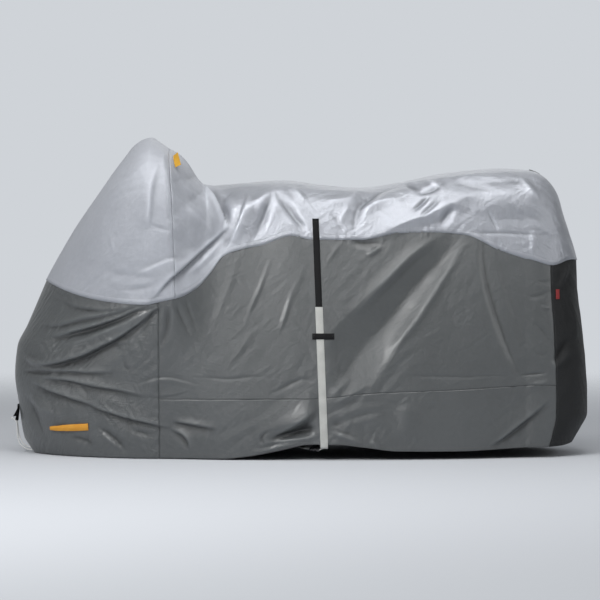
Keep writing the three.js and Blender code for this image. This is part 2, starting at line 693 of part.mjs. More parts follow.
// Station of a band that lies on the cloth; turn is the side-view direction of its width
function station(side, x, z, turn, width, thick, lift) {
  const halfX = (Math.cos(turn) * width) / 2;
  const halfZ = (Math.sin(turn) * width) / 2;
  const low = seat(side, x - halfX, z - halfZ);
  const high = seat(side, x + halfX, z + halfZ);
  const between = [-0.5, 0, 0.5].map((share) => seat(side, x + halfX * share, z + halfZ * share));
  const across = high.clone().sub(low).normalize();
  const ahead = seat(side, x - halfZ / 2, z + halfX / 2);
  const behind = seat(side, x + halfZ / 2, z - halfX / 2);
  const up = across.clone().cross(ahead.sub(behind)).normalize();
  if (up.y * side < 0) up.negate();
  const at = low.add(high).multiplyScalar(0.5);
  const proud = Math.max(0, ...between.map((spot) => spot.sub(at).dot(up)));
  return { at: at.addScaledVector(up, lift + proud), across, up, width, thick };
}

// Black belt from the silver cloth down to the join
function upperBelt(side, word) {
  const low = BELT.joinZ + SEAM_GAP;
  const stations = [];
  for (let n = 0; n <= BELT_STEPS.upper; n += 1) {
    const z = BELT.topZ + ((low - BELT.topZ) * n) / BELT_STEPS.upper;
    stations.push(station(side, beltX(z), z, 0, BELT.width, WEBBING, SEAT_GAP));
  }
  band(`belt_upper_${word}`, BLACK, stations);
}

// White belt from the join to the hem, turned under it to a heading; returns its end and that direction
function lowerBelt(side, word, heading) {
  const hem = hemZ(BELT.footX);
  const foot = hem + BELT_FOOT.rise;
  const stations = [];
  for (let n = 0; n <= BELT_STEPS.lower; n += 1) {
    const z = BELT.joinZ + ((foot - BELT.joinZ) * n) / BELT_STEPS.lower;
    stations.push(station(side, beltX(z), z, 0, BELT.footWidth, WEBBING, SEAT_GAP));
  }
  const end = stations[BELT_STEPS.lower];
  const inward = (-side * Math.PI) / 2;
  for (let n = 0; n <= BELT_STEPS.bend; n += 1) {
    const share = n / BELT_STEPS.bend;
    const cos = Math.cos((share * Math.PI) / 2);
    const sin = Math.sin((share * Math.PI) / 2);
    const skew = ((heading - inward) * share) / 2;
    const at = end.at.clone();
    at.z = hem - BELT_FOOT.under - BELT_FOOT.bend * sin;
    at.y -= side * BELT_FOOT.bend * (1 - cos);
    const up = new THREE.Vector3(0, side * cos, -sin);
    const across = new THREE.Vector3(Math.cos(skew), Math.sin(skew) * sin, -Math.sin(skew) * cos);
    stations.push({ ...end, at, across, up });
  }
  const tip = stations[stations.length - 1];
  const way = new THREE.Vector3(Math.cos(heading), Math.sin(heading), 0);
  const across = new THREE.Vector3(0, 0, side).cross(way);
  const at = tip.at.clone().addScaledVector(way, BELT_FOOT.lead);
  stations.push({ ...tip, at, across });
  band(`belt_lower_${word}`, WHITE, stations);
  return { at, way };
}

// Black keeper across the white belt, sewn to the cloth at both sides of it
function keeper(side, word) {
  const middle = beltX(KEEPER.z);
  const flat = BELT.footWidth / 2 + KEEPER.beside + KEEPER.ramp;
  const stations = [];
  for (let n = 0; n <= BELT_STEPS.keeper; n += 1) {
    const x = KEEPER.from + ((KEEPER.to - KEEPER.from) * n) / BELT_STEPS.keeper;
    const over = Math.min(Math.max((flat - Math.abs(x - middle)) / KEEPER.ramp, 0), 1);
    const lift = SEAT_GAP + over * (WEBBING + KEEPER.clear);
    stations.push(station(side, x, KEEPER.z, Math.PI / 2, KEEPER.height, WEBBING, lift));
  }
  band(`belt_keeper_${word}`, BLACK, stations);
}

upperBelt(LEFT, 'left');
upperBelt(RIGHT, 'right');
const nearFoot = lowerBelt(LEFT, 'left', BUCKLE.turn);
const farFoot = lowerBelt(RIGHT, 'right', -Math.PI / 2);
keeper(LEFT, 'left');
keeper(RIGHT, 'right');

// Half of the buckle: a mirrored outline along X, given a thickness and turned to a direction in plan
function buckleHalf(name, rows, thick, place, way) {
  const half = BUCKLE.width / 2;
  const low = rows.map(({ x, inset }) => new THREE.Vector2(x, inset - half));
  const high = rows.map(({ x, inset }) => new THREE.Vector2(x, half - inset)).reverse();
  const shape = new THREE.Shape([...low, ...high]);
  const geometry = new THREE.ExtrudeGeometry(shape, { depth: thick, bevelEnabled: false });
  geometry.translate(0, 0, -thick / 2);
  geometry.rotateZ(Math.atan2(way.y, way.x));
  geometry.translate(place.x, place.y, place.z);
  addMesh(name, BLACK, geometry);
}

// Buckle on the near belt: a socket with finger windows and the plug that clips into it
const socketAt = nearFoot.at.clone().addScaledVector(nearFoot.way, SEAM_GAP);
socketAt.z -= WEBBING / 2;
buckleHalf('buckle_socket', SOCKET, BUCKLE.socketThick, socketAt, nearFoot.way);
const plugAt = socketAt.clone().addScaledVector(nearFoot.way, SOCKET[SOCKET.length - 1].x + SEAM_GAP);
buckleHalf('buckle_plug', PLUG, BUCKLE.plugThick, plugAt, nearFoot.way);

// Cross belt under the hem, from the plug to the foot of the far belt
const crossFrom = plugAt.clone().addScaledVector(nearFoot.way, PLUG[PLUG.length - 1].x + SEAM_GAP);
crossFrom.z = nearFoot.at.z;
const crossTo = farFoot.at.clone().addScaledVector(farFoot.way, SEAM_GAP);
const crossPath = new THREE.CatmullRomCurve3([
  crossFrom,
  crossFrom.clone().addScaledVector(nearFoot.way, CROSS.nearLead),
  new THREE.Vector3(CROSS.nearX, CROSS.nearY, crossTo.z - CROSS.sag),
  new THREE.Vector3(CROSS.farX, CROSS.farY, crossTo.z - CROSS.sag),
  crossTo.clone().addScaledVector(farFoot.way, CROSS.farLead),
  crossTo,
]);
const crossStations = [];
for (let n = 0; n <= BELT_STEPS.cross; n += 1) {
  const share = n / BELT_STEPS.cross;
  const way = crossPath.getTangent(share).setZ(0).normalize();
  const up = new THREE.Vector3(0, 0, -1);
  const across = up.clone().cross(way);
  crossStations.push({ at: crossPath.getPoint(share), across, up, width: BELT.footWidth, thick: WEBBING });
}
band('belt_cross', WHITE, crossStations);

// Folded webbing tab at the nose
const legHalf = CORD_TAB.thick / 2;
const tabShape = new THREE.Shape([
  new THREE.Vector2(CORD_TAB.x, CORD_TAB.z),
  new THREE.Vector2(CORD_TAB.x - CORD_TAB.thick, CORD_TAB.z),
  new THREE.Vector2(CORD_TAB_LEGS.outerX - legHalf, CORD_TAB_LEGS.outerZ),
  new THREE.Vector2(CORD_TAB_LEGS.outerX + legHalf, CORD_TAB_LEGS.outerZ),
  new THREE.Vector2(CORD_TAB.x - CORD_TAB.thick, CORD_TAB.z - CORD_TAB.fork),
  new THREE.Vector2(CORD_TAB_LEGS.innerX - legHalf, CORD_TAB_LEGS.innerZ),
  new THREE.Vector2(CORD_TAB_LEGS.innerX + legHalf, CORD_TAB_LEGS.innerZ),
]);
const tabGeometry = new THREE.ExtrudeGeometry(tabShape, { depth: CORD_TAB.width, bevelEnabled: false });
tabGeometry.rotateX(Math.PI / 2);
tabGeometry.translate(0, CORD_TAB.width / 2, 0);
addMesh('cord_tab', BLACK, tabGeometry);

// Draw-cord strand along a route, at a distance from the centre line
function strand(name, route, y) {
  const path = new THREE.CatmullRomCurve3(route.map(({ x, z }) => new THREE.Vector3(x, y, z)));
  const ring = new THREE.Shape().absarc(0, 0, CORD.radius, 0, 2 * Math.PI);
  const steps = Math.ceil(path.getLength() / CORD.step);
  const options = { extrudePath: path, steps, curveSegments: CORD.sides / 2, bevelEnabled: false };
  addMesh(name, WHITE, new THREE.ExtrudeGeometry(ring, options));
}

strand('cord_near', CORD_NEAR, -CORD.apart);
strand('cord_far', CORD_FAR, CORD.apart);

// Tab that lies on the near cloth at its sewn end and stands off it at the free end
function sewnTab(name, finish, spec, thick) {
  const turn = Math.atan2(spec.z2 - spec.z1, spec.x2 - spec.x1) + Math.PI / 2;
  const stations = [];
  for (let n = 0; n <= TAB_STEPS; n += 1) {
    const share = n / TAB_STEPS;
    const x = spec.x1 + (spec.x2 - spec.x1) * share;
    const z = spec.z1 + (spec.z2 - spec.z1) * share;
    const width = spec.width + (spec.tip - spec.width) * share ** TIP_TAPER;
    const lift = SEAT_GAP + spec.standOff * Math.sin((share * Math.PI) / 2);
    stations.push(station(LEFT, x, z, turn, width, thick, lift));
  }
  band(name, finish, stations);
}

sewnTab('pull_tab', ORANGE, PULL_TAB, 2 * WEBBING);
sewnTab('hood_tab', YELLOW, HOOD_TAB, TAB);
sewnTab('seam_tab', RED, SEAM_TAB, TAB);

// Webbing tab over the top of the tail, laid across the centre line
const tailStations = [];
for (let n = 0; n <= TAB_STEPS; n += 1) {
  const x = TAIL_TAB.x1 + ((TAIL_TAB.x2 - TAIL_TAB.x1) * n) / TAB_STEPS;
  const reaches = [TAB, TAIL_TAB.width / 4, TAIL_TAB.width / 2];
  const tops = reaches.flatMap((y) => [seat(LEFT, x, -y, true).z, seat(RIGHT, x, y, true).z]);
  const climb = seat(LEFT, x + TAB, -TAB, true).z - seat(LEFT, x - TAB, -TAB, true).z;
  tailStations.push({
    at: new THREE.Vector3(x, 0, Math.max(...tops) + 2 * SEAT_GAP),
    across: new THREE.Vector3(0, 1, 0),
    up: new THREE.Vector3(-climb, 0, 2 * TAB).normalize(),
    width: TAIL_TAB.width,
    thick: WEBBING,
  });
}
band('tail_tab', BLACK, tailStations);

export default cover;
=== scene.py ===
"""Motorcycle cover, pulled over a machine that isn't shown.

Draped cloth panels, belly belt with its buckle, draw cord, sewn tabs, stitching and a plain studio.
Tables and fields are in millimetres, +X to the rear, +Z up, near (left) side at -Y.
"""

import logging
import math
from dataclasses import dataclass, replace
from enum import Enum
from typing import Any, Callable, Sequence

import bmesh
import bpy
import numpy as np
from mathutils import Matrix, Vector, noise
from mathutils.bvhtree import BVHTree


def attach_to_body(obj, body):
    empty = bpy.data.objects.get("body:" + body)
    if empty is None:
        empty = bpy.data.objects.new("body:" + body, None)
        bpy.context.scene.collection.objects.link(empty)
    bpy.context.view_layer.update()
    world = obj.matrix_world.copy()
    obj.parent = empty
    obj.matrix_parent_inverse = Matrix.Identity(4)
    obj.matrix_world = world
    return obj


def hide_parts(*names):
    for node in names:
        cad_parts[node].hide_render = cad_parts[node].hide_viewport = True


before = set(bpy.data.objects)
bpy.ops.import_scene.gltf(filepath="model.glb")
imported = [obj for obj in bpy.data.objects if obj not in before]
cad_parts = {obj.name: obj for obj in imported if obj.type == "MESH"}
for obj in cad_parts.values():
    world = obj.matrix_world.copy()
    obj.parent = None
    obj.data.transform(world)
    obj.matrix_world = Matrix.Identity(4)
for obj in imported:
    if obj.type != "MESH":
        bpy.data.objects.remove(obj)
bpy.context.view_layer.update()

Array = np.ndarray
Colour = tuple[float, float, float]
Place = tuple[float, float, float]
Material = bpy.types.Material
Piece = bpy.types.Object
LOG = logging.getLogger("cover")

MM = 0.001
TINY = 1e-9
PATH_SAMPLES = 801
BODY = "root"

# Values at each point of the cloth that its finish reads
# Painted shading: colour painted darker as shade in fold hollows and seam lines, and lighter as a highlight
# on crests
PAINTED_SHADING = "painted_shading"
EDGE_GAP = "edge_gap"
EDGE_RUN = "edge_run"


class Side(Enum):
    """Side of the cover, with the sign of its y."""

    LEFT = -1
    RIGHT = 1


class Crest(Enum):
    """Shape of a fold across its line."""

    SOFT = "rounded"
    CRISP = "narrow crest with soft feet"
    SHARP = "thin line"
    FACET = "straight flanks with sharp feet"
    PLEAT = "raised on one side of its line and sunk on the other"


SOFT, CRISP, SHARP, FACET, PLEAT = Crest


class Band(Enum):
    """Part of the cover's height that a panel takes up."""

    HEM = "hem to level seam"
    SIDE = "level seam to silver edge"
    SKIRT = "hem to silver edge"
    SILVER = "silver edge to top line"


class Edge(Enum):
    """Edge of a panel, as the axis of its grid and the end of that axis."""

    FRONT = (0, 0)
    REAR = (0, -1)
    LOW = (1, 0)
    TOP = (1, -1)


class Sewing(Enum):
    """How an edge of a panel is finished."""

    SEAM = "turned in and sewn to its neighbour"
    LAP = "laid over its neighbour and top-stitched"
    TUCK = "tucked under its neighbour"
    HEM = "turned up and stitched"


@dataclass(frozen=True)
class Spot:
    """Point of an outline in side view."""

    x: float
    z: float

    def toward(self, other: "Spot", share: float) -> "Spot":
        """Returns the point at a share of the way to another."""
        return Spot(self.x + (other.x - self.x) * share, self.z + (other.z - self.z) * share)


@dataclass(frozen=True)
class Section:
    """Upright section: half widths at the hem, half way up, the silver edge, the shoulder and the crown.

    The rise is the height at which its shoulder turns in.
    """

    x: float
    hem: float
    belly: float
    edge: float
    shoulder: float
    rise: float
    crown: float


@dataclass(frozen=True)
class Fold:
    """Ridge or trough in side view: start, middle and end, reach to the left and right of it, and height.

    A fold with a flare is narrower and lower at its start by that share, and wider and higher at its end.
    """

    x1: float
    z1: float
    x2: float
    z2: float
    x3: float
    z3: float
    left: float
    right: float
    height: float
    crest: Crest = CRISP
    flare: float = 0.0

    STEPS = 12
    FADE = 0.9
    RANGE = 3.0
    ROUNDING = 2.0
    CRISP_SPAN = 1.7
    CRISP_EASE = 1.5
    SHARP_SPAN = 0.5
    FACET_ROUNDING = 14.0
    PLEAT_SPAN = 2.0
    PLEAT_LIP = 3.5

    def moved(self, ahead: float, up: float, share: float) -> "Fold":
        """Returns the fold shifted in side view and scaled in height."""
        ends = (self.x1 + ahead, self.z1 + up, self.x2 + ahead, self.z2 + up, self.x3 + ahead, self.z3 + up)
        return Fold(*ends, self.left, self.right, self.height * share, self.crest, self.flare)

    def chain(self) -> tuple[Array, Array]:
        """Curve through start, middle and end.

        Returns:
            The x and z of points along it.
        """
        t = np.linspace(0.0, 1.0, self.STEPS + 1)
        s = 1.0 - t
        bend_x = 2 * self.x2 - (self.x1 + self.x3) / 2
        bend_z = 2 * self.z2 - (self.z1 + self.z3) / 2
        x = s * s * self.x1 + 2 * s * t * bend_x + t * t * self.x3
        z = s * s * self.z1 + 2 * s * t * bend_z + t * t * self.z3
        return x, z

    def profile(self, gap: Array, side: Array, reach: Array) -> Array:
        """Share of the fold's height across its line.

        Args:
            gap: Distance from the line.
            side: 1 on the left of the line and -1 on its right.
            reach: Reach of the fold on that side.

        Returns:
            Share from -1 to 1.
        """
        blunt = np.hypot(gap, self.ROUNDING) - self.ROUNDING
        if self.crest is CRISP:
            return np.maximum(1 - blunt / (self.CRISP_SPAN * reach), 0) ** self.CRISP_EASE
        if self.crest is SHARP:
            return np.exp(-blunt / (self.SHARP_SPAN * reach))
        if self.crest is FACET:
            round_gap = np.hypot(gap, self.FACET_ROUNDING) - self.FACET_ROUNDING
            return np.maximum(1 - round_gap / reach, 0)
        if self.crest is PLEAT:
            fall = np.maximum(1 - gap / (self.PLEAT_SPAN * reach), 0) ** self.CRISP_EASE
            return np.tanh(side * gap / self.PLEAT_LIP) * fall
        return np.exp(-((gap / reach) ** 2))

    def lift(self, x: Array, z: Array) -> Array:
        """Height that the fold adds at places in side view.

        Args:
            x: Positions along the cover, as a flat array.
            z: Heights of the same places.

        Returns:
            Lift along the outward direction, zero away from the fold.
        """
        line_x, line_z = self.chain()
        limit = max(self.left, self.right) * self.RANGE
        near = (x > line_x.min() - limit) & (x < line_x.max() + limit)
        near &= (z > line_z.min() - limit) & (z < line_z.max() + limit)
        px, pz = x[near], z[near]
        nearest = np.full(px.shape, np.inf)
        share = np.zeros(px.shape)
        turn = np.zeros(px.shape)
        for n in range(self.STEPS):
            dx = line_x[n + 1] - line_x[n]
            dz = line_z[n + 1] - line_z[n]
            ax = px - line_x[n]
            az = pz - line_z[n]
            t = np.clip((ax * dx + az * dz) / (dx * dx + dz * dz), 0, 1)
            gap = np.hypot(ax - t * dx, az - t * dz)
            closer = gap < nearest
            nearest = np.where(closer, gap, nearest)
            share = np.where(closer, (n + t) / self.STEPS, share)
            turn = np.where(closer, dx * az - dz * ax, turn)
        swell = 1 + self.flare * (2 * share - 1)
        reach = np.where(turn > 0, self.left, self.right) * swell
        fade = np.sin(np.pi * share) ** self.FADE
        added = np.zeros(x.shape)
        added[near] = self.height * swell * fade * self.profile(nearest, np.sign(turn), reach)
        return added


def folds(*rows: tuple[Any, ...]) -> tuple[Fold, ...]:
    """Returns the folds of a table from rows of their fields."""
    return tuple(Fold(*row) for row in rows)


@dataclass(frozen=True)
class Gather:
    """Row of small puckers along the silver edge, between two positions."""

    start: float
    end: float
    pitch: float
    depth: float
    reach: float

    WOBBLE = 0.35

    def lift(self, x: Array, drop: Array) -> Array:
        """Height that the puckers add.

        Args:
            x: Positions along the cover.
            drop: Distance of each place from the silver edge.

        Returns:
            Lift along the outward direction.
        """
        share = np.clip((x - self.start) / (self.end - self.start), 0, 1)
        phase = 2 * np.pi * x / self.pitch
        wave = np.sin(phase + self.WOBBLE * self.pitch * np.sin(phase / np.e))
        return self.depth * wave * np.sin(np.pi * share) * np.exp(-np.abs(drop) / self.reach)


@dataclass(frozen=True)
class CreaseField:
    """Small creases all over a panel: facets between sharp lines, in one direction or out from a hub."""

    height: float
    size: float
    stretch: float
    turn: float = 0.0
    hub: Spot | None = None

    ARC = 320.0
    LEANS = (-0.35, 0.5, 1.45)
    SHARES = (1.0, 0.8, 0.5)
    WARP = 0.9
    WARP_SIZE = 2.2
    PATCH_SIZE = 1.9
    PATCH_GAIN = 2.2
    WARP_SHIFT = 3.1
    PATCH_SHIFT = 7.7

    def lift(self, points: Array, shift: float) -> Array:
        """Height that the creases add.

        Args:
            points: Points of the smooth form.
            shift: Offset that picks another part of the pattern.

        Returns:
            Lift along the outward direction.
        """
        x = points[..., 0]
        girth = points[..., 2] - np.abs(points[..., 1])
        if self.hub is None:
            angle = math.radians(self.turn)
            along = x * math.cos(angle) + girth * math.sin(angle)
            across = girth * math.cos(angle) - x * math.sin(angle)
        else:
            along = np.hypot(x - self.hub.x, points[..., 2] - self.hub.z)
            across = self.ARC * np.arctan2(points[..., 2] - self.hub.z, np.abs(x - self.hub.x))
        lay = np.stack((along / self.stretch, across, np.zeros_like(x)), axis=-1)
        total = np.zeros_like(x)
        for n, (lean, share) in enumerate(zip(self.LEANS, self.SHARES)):
            warp = self.WARP * unevenness(lay, self.size * self.WARP_SIZE, shift + self.WARP_SHIFT * n)
            patch = unevenness(lay, self.size * self.PATCH_SIZE, shift + self.PATCH_SHIFT + n)
            count = (lay[..., 1] * math.cos(lean) + lay[..., 0] * math.sin(lean)) / self.size + warp
            wave = 4 * np.abs(count - np.floor(count + 0.5)) - 1
            total += share * wave * np.clip(self.PATCH_GAIN * patch, 0, 1)
        return self.height * total


def side_view(*places: tuple[float, float]) -> tuple[Spot, ...]:
    """Returns the points of an outline from their x and z."""
    return tuple(Spot(x, z) for x, z in places)


FRONT_LOWER = side_view(
    (-1060, 0), (-1100, 65), (-1120, 195), (-1135, 310), (-1125, 420), (-1085, 505),
    (-1005, 690),
)
FRONT_UPPER = side_view(
    (-1005, 690), (-955, 785), (-875, 915), (-795, 1015), (-715, 1125), (-680, 1185),
    (-630, 1230), (-580, 1245),
)
REAR_LOWER = side_view(
    (1075, 50), (1110, 105), (1135, 160), (1135, 230), (1125, 385), (1110, 530), (1095, 640),
    (1090, 770),
)
REAR_UPPER = side_view(
    (1090, 770), (1065, 855), (1040, 930), (1020, 1005), (990, 1055), (935, 1100), (870, 1120),
)
RIDGE = side_view(
    (-580, 1245), (-560, 1230), (-520, 1202), (-495, 1190), (-465, 1165), (-410, 1085),
    (-385, 1055), (-240, 1065), (-60, 1077), (75, 1060), (235, 1048), (395, 1070), (555, 1103),
    (710, 1120), (790, 1124), (870, 1120),
)
SILVER_EDGE = side_view(
    (-580, 605), (-520, 618), (-460, 633), (-395, 670), (-350, 720), (-295, 790), (-235, 812),
    (-150, 830), (-35, 866), (40, 852), (230, 850), (385, 875), (500, 880), (635, 870),
    (770, 812), (870, 782),
)
LEVEL_SEAM = side_view((-580, 230), (50, 234), (270, 254), (600, 266), (870, 280))
HEM = side_view(
    (-580, 1), (-300, 3), (-195, 14), (-80, 36), (40, 60), (130, 60), (225, 50), (380, 32),
    (600, 30), (870, 40),
)

# Seams within a panel that are sewn flat: the tail of the silver cloth and the front skirt
TAIL_SEAMS = (
    side_view((645, 873), (769, 868), (965, 857)),
    side_view((978, 872), (978, 790)),
    side_view((991, 872), (991, 790)),
)
FRONT_SEAM = side_view((-830, 210), (-830, 20))

SECTIONS = (
    Section(-580, 300, 340, 372, 448, 1150, 430),
    Section(-500, 308, 342, 372, 455, 1140, 440),
    Section(-430, 322, 348, 352, 372, 1060, 325),
    Section(-370, 335, 352, 318, 285, 1000, 225),
    Section(-290, 350, 352, 280, 225, 1010, 170),
    Section(-150, 365, 350, 262, 235, 1030, 175),
    Section(80, 375, 345, 255, 235, 1020, 170),
    Section(300, 365, 335, 248, 225, 1015, 160),
    Section(600, 330, 310, 242, 235, 1070, 170),
    Section(870, 270, 265, 232, 230, 1075, 170),
)

# Folds of the near side: front skirt
FRONT_FOLDS = folds(
    (-1025, 505, -815, 540, -580, 605, 26, 28, 8, PLEAT),
    (-985, 465, -795, 510, -560, 605, 34, 30, 14, PLEAT),
    (-930, 425, -755, 490, -580, 575, 18, 18, 12),
    (-1065, 355, -815, 405, -530, 595, 46, 34, 20, PLEAT),
    (-1070, 335, -890, 330, -705, 335, 18, 18, 9, PLEAT),
    (-1040, 305, -835, 285, -580, 235, 22, 24, 12, PLEAT),
    (-1055, 285, -930, 235, -785, 200, 22, 28, 14, PLEAT),
    (-1055, 225, -1000, 180, -915, 145, 24, 24, 11),
    (-1085, 225, -1050, 155, -985, 40, 18, 18, -11),
    (-820, 205, -700, 165, -495, 120, 36, 36, 15, PLEAT),
    (-905, 80, -850, 70, -800, 45, 12, 12, -8),
    (-800, 130, -735, 85, -665, 25, 18, 20, -11),
    (-775, 95, -730, 65, -685, 30, 9, 9, 8),
    (-495, 150, -415, 130, -320, 115, 18, 22, 11, PLEAT),
    (-505, 115, -445, 80, -430, 35, 16, 16, 11, PLEAT),
    (-650, 270, -535, 310, -390, 280, 12, 14, -3, PLEAT),
    (-620, 260, -525, 240, -410, 275, 12, 12, 2, PLEAT),
    (-680, 400, -668, 348, -630, 358, 7, 8, -3),
    (-548, 590, -578, 540, -620, 470, 10, 12, -7),
    (-510, 590, -510, 525, -535, 430, 10, 10, -7),
    (-475, 605, -460, 550, -425, 475, 9, 9, -5),
    (-1085, 385, -1045, 365, -990, 355, 7, 7, 7),
    (-1090, 325, -1045, 320, -975, 320, 7, 7, -8),
    (-1075, 370, -1020, 345, -960, 345, 6, 6, 5),
    (-930, 610, -815, 575, -640, 590, 22, 16, 5, PLEAT),
    (-825, 225, -827, 110, -825, 5, 4, 4, -2, SHARP),
    (-895, 292, -850, 270, -822, 225, 6, 8, -2),
    (-669, 180, -662, 150, -668, 105, 6, 6, -5),
    (-655, 118, -615, 98, -560, 92, 9, 10, -6),
    (-760, 480, -700, 452, -635, 470, 8, 8, 4),
)

# Folds of the near side: middle of the grey cloth, with the long diagonal fold and the tuck at the hem
MIDDLE_FOLDS = folds(
    (-110, 790, -165, 640, -220, 510, 6, 9, 3),
    (-25, 650, -55, 565, -90, 460, 5, 8, 3),
    (160, 840, 125, 790, 90, 730, 7, 8, 3),
    (255, 780, 280, 795, 320, 825, 9, 10, 8),
    (195, 845, 250, 830, 315, 840, 14, 16, -9, SOFT),
    (-240, 790, -280, 650, -350, 480, 12, 16, 2),
    (-448, 625, -425, 560, -400, 488, 8, 8, -4),
    (30, 790, -20, 650, -130, 420, 12, 16, 2),
    (-165, 520, -235, 415, -310, 325, 12, 14, 2),
    (510, 855, 371, 726, 190, 545, 15, 27, 13),
    (640, 885, 398, 612, 95, 250, 72, 95, -30, FACET, 0.6),
    (650, 868, 497, 614, 235, 262, 16, 24, 6, SOFT),
    (265, 295, 190, 245, 105, 210, 12, 28, 8),
    (-120, 240, -20, 300, 60, 312, 7, 9, -4),
    (185, 310, 20, 167, -165, 55, 15, 62, 24),
    (165, 135, 0, 113, -135, 72, 20, 22, -26),
    (-140, 64, -41, 77, 85, 97, 8, 9, 10),
    (90, 97, 150, 92, 235, 60, 9, 11, 9),
    (-190, 30, -80, 50, 40, 72, 8, 9, 7),
    (-112, 112, -148, 88, -135, 62, 6, 8, -6),
    (265, 70, 280, 60, 295, 40, 10, 10, 6, SOFT),
    (-400, 315, -265, 315, -120, 320, 6, 8, -3, SHARP),
    (400, 320, 610, 320, 840, 320, 6, 8, -3, SHARP),
    (840, 320, 900, 325, 955, 325, 8, 10, -6, SHARP),
    (380, 215, 410, 160, 380, 75, 34, 34, 7, SOFT),
)

# Folds of the near side: rear of the grey cloth and the tail panel
REAR_FOLDS = folds(
    (685, 885, 722, 640, 850, 270, 62, 150, 12, FACET),
    (702, 890, 738, 600, 862, 290, 30, 18, -13),
    (720, 40, 840, 120, 965, 230, 38, 46, 10, PLEAT),
    (910, 690, 945, 678, 972, 690, 6, 8, -2),
    (880, 622, 930, 628, 972, 648, 7, 8, -3),
    (935, 590, 950, 582, 972, 588, 6, 6, 2),
    (900, 520, 935, 490, 962, 440, 8, 10, -3),
    (905, 415, 930, 398, 958, 405, 7, 8, -2),
    (880, 290, 925, 285, 955, 300, 9, 10, 5),
    (1050, 765, 1025, 705, 1000, 645, 10, 11, 8),
    (1055, 620, 1070, 520, 1080, 440, 16, 16, 7),
    (1045, 465, 1015, 415, 980, 360, 13, 15, -8),
    (1065, 415, 1020, 380, 975, 335, 13, 15, 7),
)

# Folds of the near side: hood, whose rear edge stands over the saddle and runs on as a deep crease
HOOD_FOLDS = folds(
    (-370, 1045, -320, 975, -275, 880, 75, 130, -22, PLEAT),
    (-270, 895, -415, 770, -580, 610, 34, 56, -12, PLEAT),
    (-295, 845, -365, 775, -445, 705, 12, 14, 8),
    (-525, 1185, -530, 1150, -525, 1100, 8, 8, 2),
    (-512, 1180, -514, 1145, -512, 1110, 7, 7, -2),
    (-545, 1140, -572, 1005, -580, 885, 9, 52, 10),
    (-570, 905, -535, 888, -490, 878, 6, 8, -3),
    (-470, 1075, -425, 1020, -345, 955, 7, 16, 4),
    (-480, 1020, -420, 930, -335, 860, 6, 12, 3),
    (-525, 1180, -650, 1085, -770, 950, 60, 60, 6),
    (-735, 865, -725, 830, -715, 790, 6, 6, 2),
    (-655, 695, -540, 755, -420, 785, 30, 34, -3, PLEAT),
    (-770, 735, -650, 705, -505, 715, 14, 16, -3),
    (-695, 655, -620, 660, -535, 690, 10, 12, -4),
    (-505, 775, -465, 770, -420, 775, 8, 8, -4),
    (-495, 1070, -420, 1005, -335, 935, 30, 30, -5, SOFT),
    (-405, 1090, -382, 975, -362, 820, 62, 108, 20, FACET),
)

# Folds of the near side: saddle and tail of the silver cloth
SADDLE_FOLDS = folds(
    (-365, 1050, -345, 1020, -325, 980, 9, 10, 6),
    (-345, 1050, -315, 1025, -290, 985, 9, 10, -6),
    (-200, 1025, -250, 890, -288, 805, 20, 30, 8, PLEAT),
    (-292, 1015, -262, 930, -278, 835, 72, 24, 26, FACET),
    (-270, 920, -160, 985, -40, 1010, 44, 50, 18, SOFT),
    (-225, 935, -135, 1005, -55, 1035, 16, 22, 8),
    (-100, 1030, -140, 945, -180, 840, 17, 15, -13),
    (-105, 1030, -35, 945, 50, 840, 17, 15, -15),
    (-55, 1050, -5, 1015, 50, 965, 12, 14, 9),
    (10, 1055, 60, 1005, 100, 955, 14, 16, 10),
    (65, 995, 150, 1000, 235, 1020, 14, 18, 8),
    (410, 1060, 260, 1005, 205, 860, 18, 28, -20),
    (215, 950, 300, 985, 390, 1005, 16, 18, 11),
    (400, 1070, 430, 1050, 470, 1040, 9, 10, -9),
    (490, 1075, 525, 1060, 565, 1050, 10, 10, 9),
    (430, 1030, 500, 1035, 570, 1075, 11, 11, -11),
    (700, 1030, 500, 945, 260, 855, 26, 40, 16),
    (600, 980, 570, 940, 540, 895, 15, 17, -14),
    (430, 950, 465, 985, 495, 1015, 8, 9, -11),
    (465, 930, 500, 965, 550, 1010, 9, 8, -9),
    (555, 1085, 705, 1085, 850, 1090, 18, 18, 6),
    (840, 1090, 885, 1045, 925, 995, 14, 22, 12),
    (650, 1000, 810, 1008, 960, 1000, 45, 75, 15, FACET),
    (715, 965, 740, 915, 765, 870, 8, 9, -5, SHARP),
    (900, 880, 900, 830, 895, 780, 9, 9, 5),
    (585, 1075, 655, 1045, 740, 1035, 16, 18, -6),
    (115, 945, 145, 910, 170, 860, 10, 10, -5),
    (190, 975, 165, 935, 145, 890, 9, 9, 5),
    (634, 874, 769, 868, 974, 856, 5, 6, -4, SHARP),
)
NEAR_FOLDS = FRONT_FOLDS + MIDDLE_FOLDS + REAR_FOLDS + HOOD_FOLDS + SADDLE_FOLDS

# Main folds of the far side, which also has the smaller ones of the near side, shifted
FAR_FOLDS = folds(
    (-1020, 390, -790, 470, -540, 590, 44, 40, -20, SOFT),
    (-980, 300, -780, 300, -580, 250, 40, 44, -14, SOFT),
    (560, 820, 330, 560, 130, 260, 40, 60, 22, SOFT),
    (-60, 780, -130, 480, -240, 200, 50, 56, -16, SOFT),
    (730, 800, 760, 560, 860, 300, 46, 44, -17, SOFT),
    (-370, 1045, -320, 975, -275, 880, 30, 130, -30, PLEAT),
    (-280, 890, -430, 750, -580, 620, 30, 48, -16, PLEAT),
    (360, 1045, 240, 1000, 200, 900, 36, 36, -13, SOFT),
    (640, 1000, 820, 975, 960, 1030, 32, 32, -10, SOFT),
)
FAR_SHIFT = {"ahead": 24.0, "up": -12.0, "share": 0.85}
SMALL_FOLD = 12.0
GATHERS = (
    Gather(-60, 50, 24, 1.3, 22),
    Gather(95, 235, 29, 1.4, 24),
    Gather(370, 560, 34, 1.5, 26),
    Gather(640, 860, 40, 1.1, 22),
    Gather(-330, -180, 37, 1.0, 20),
)


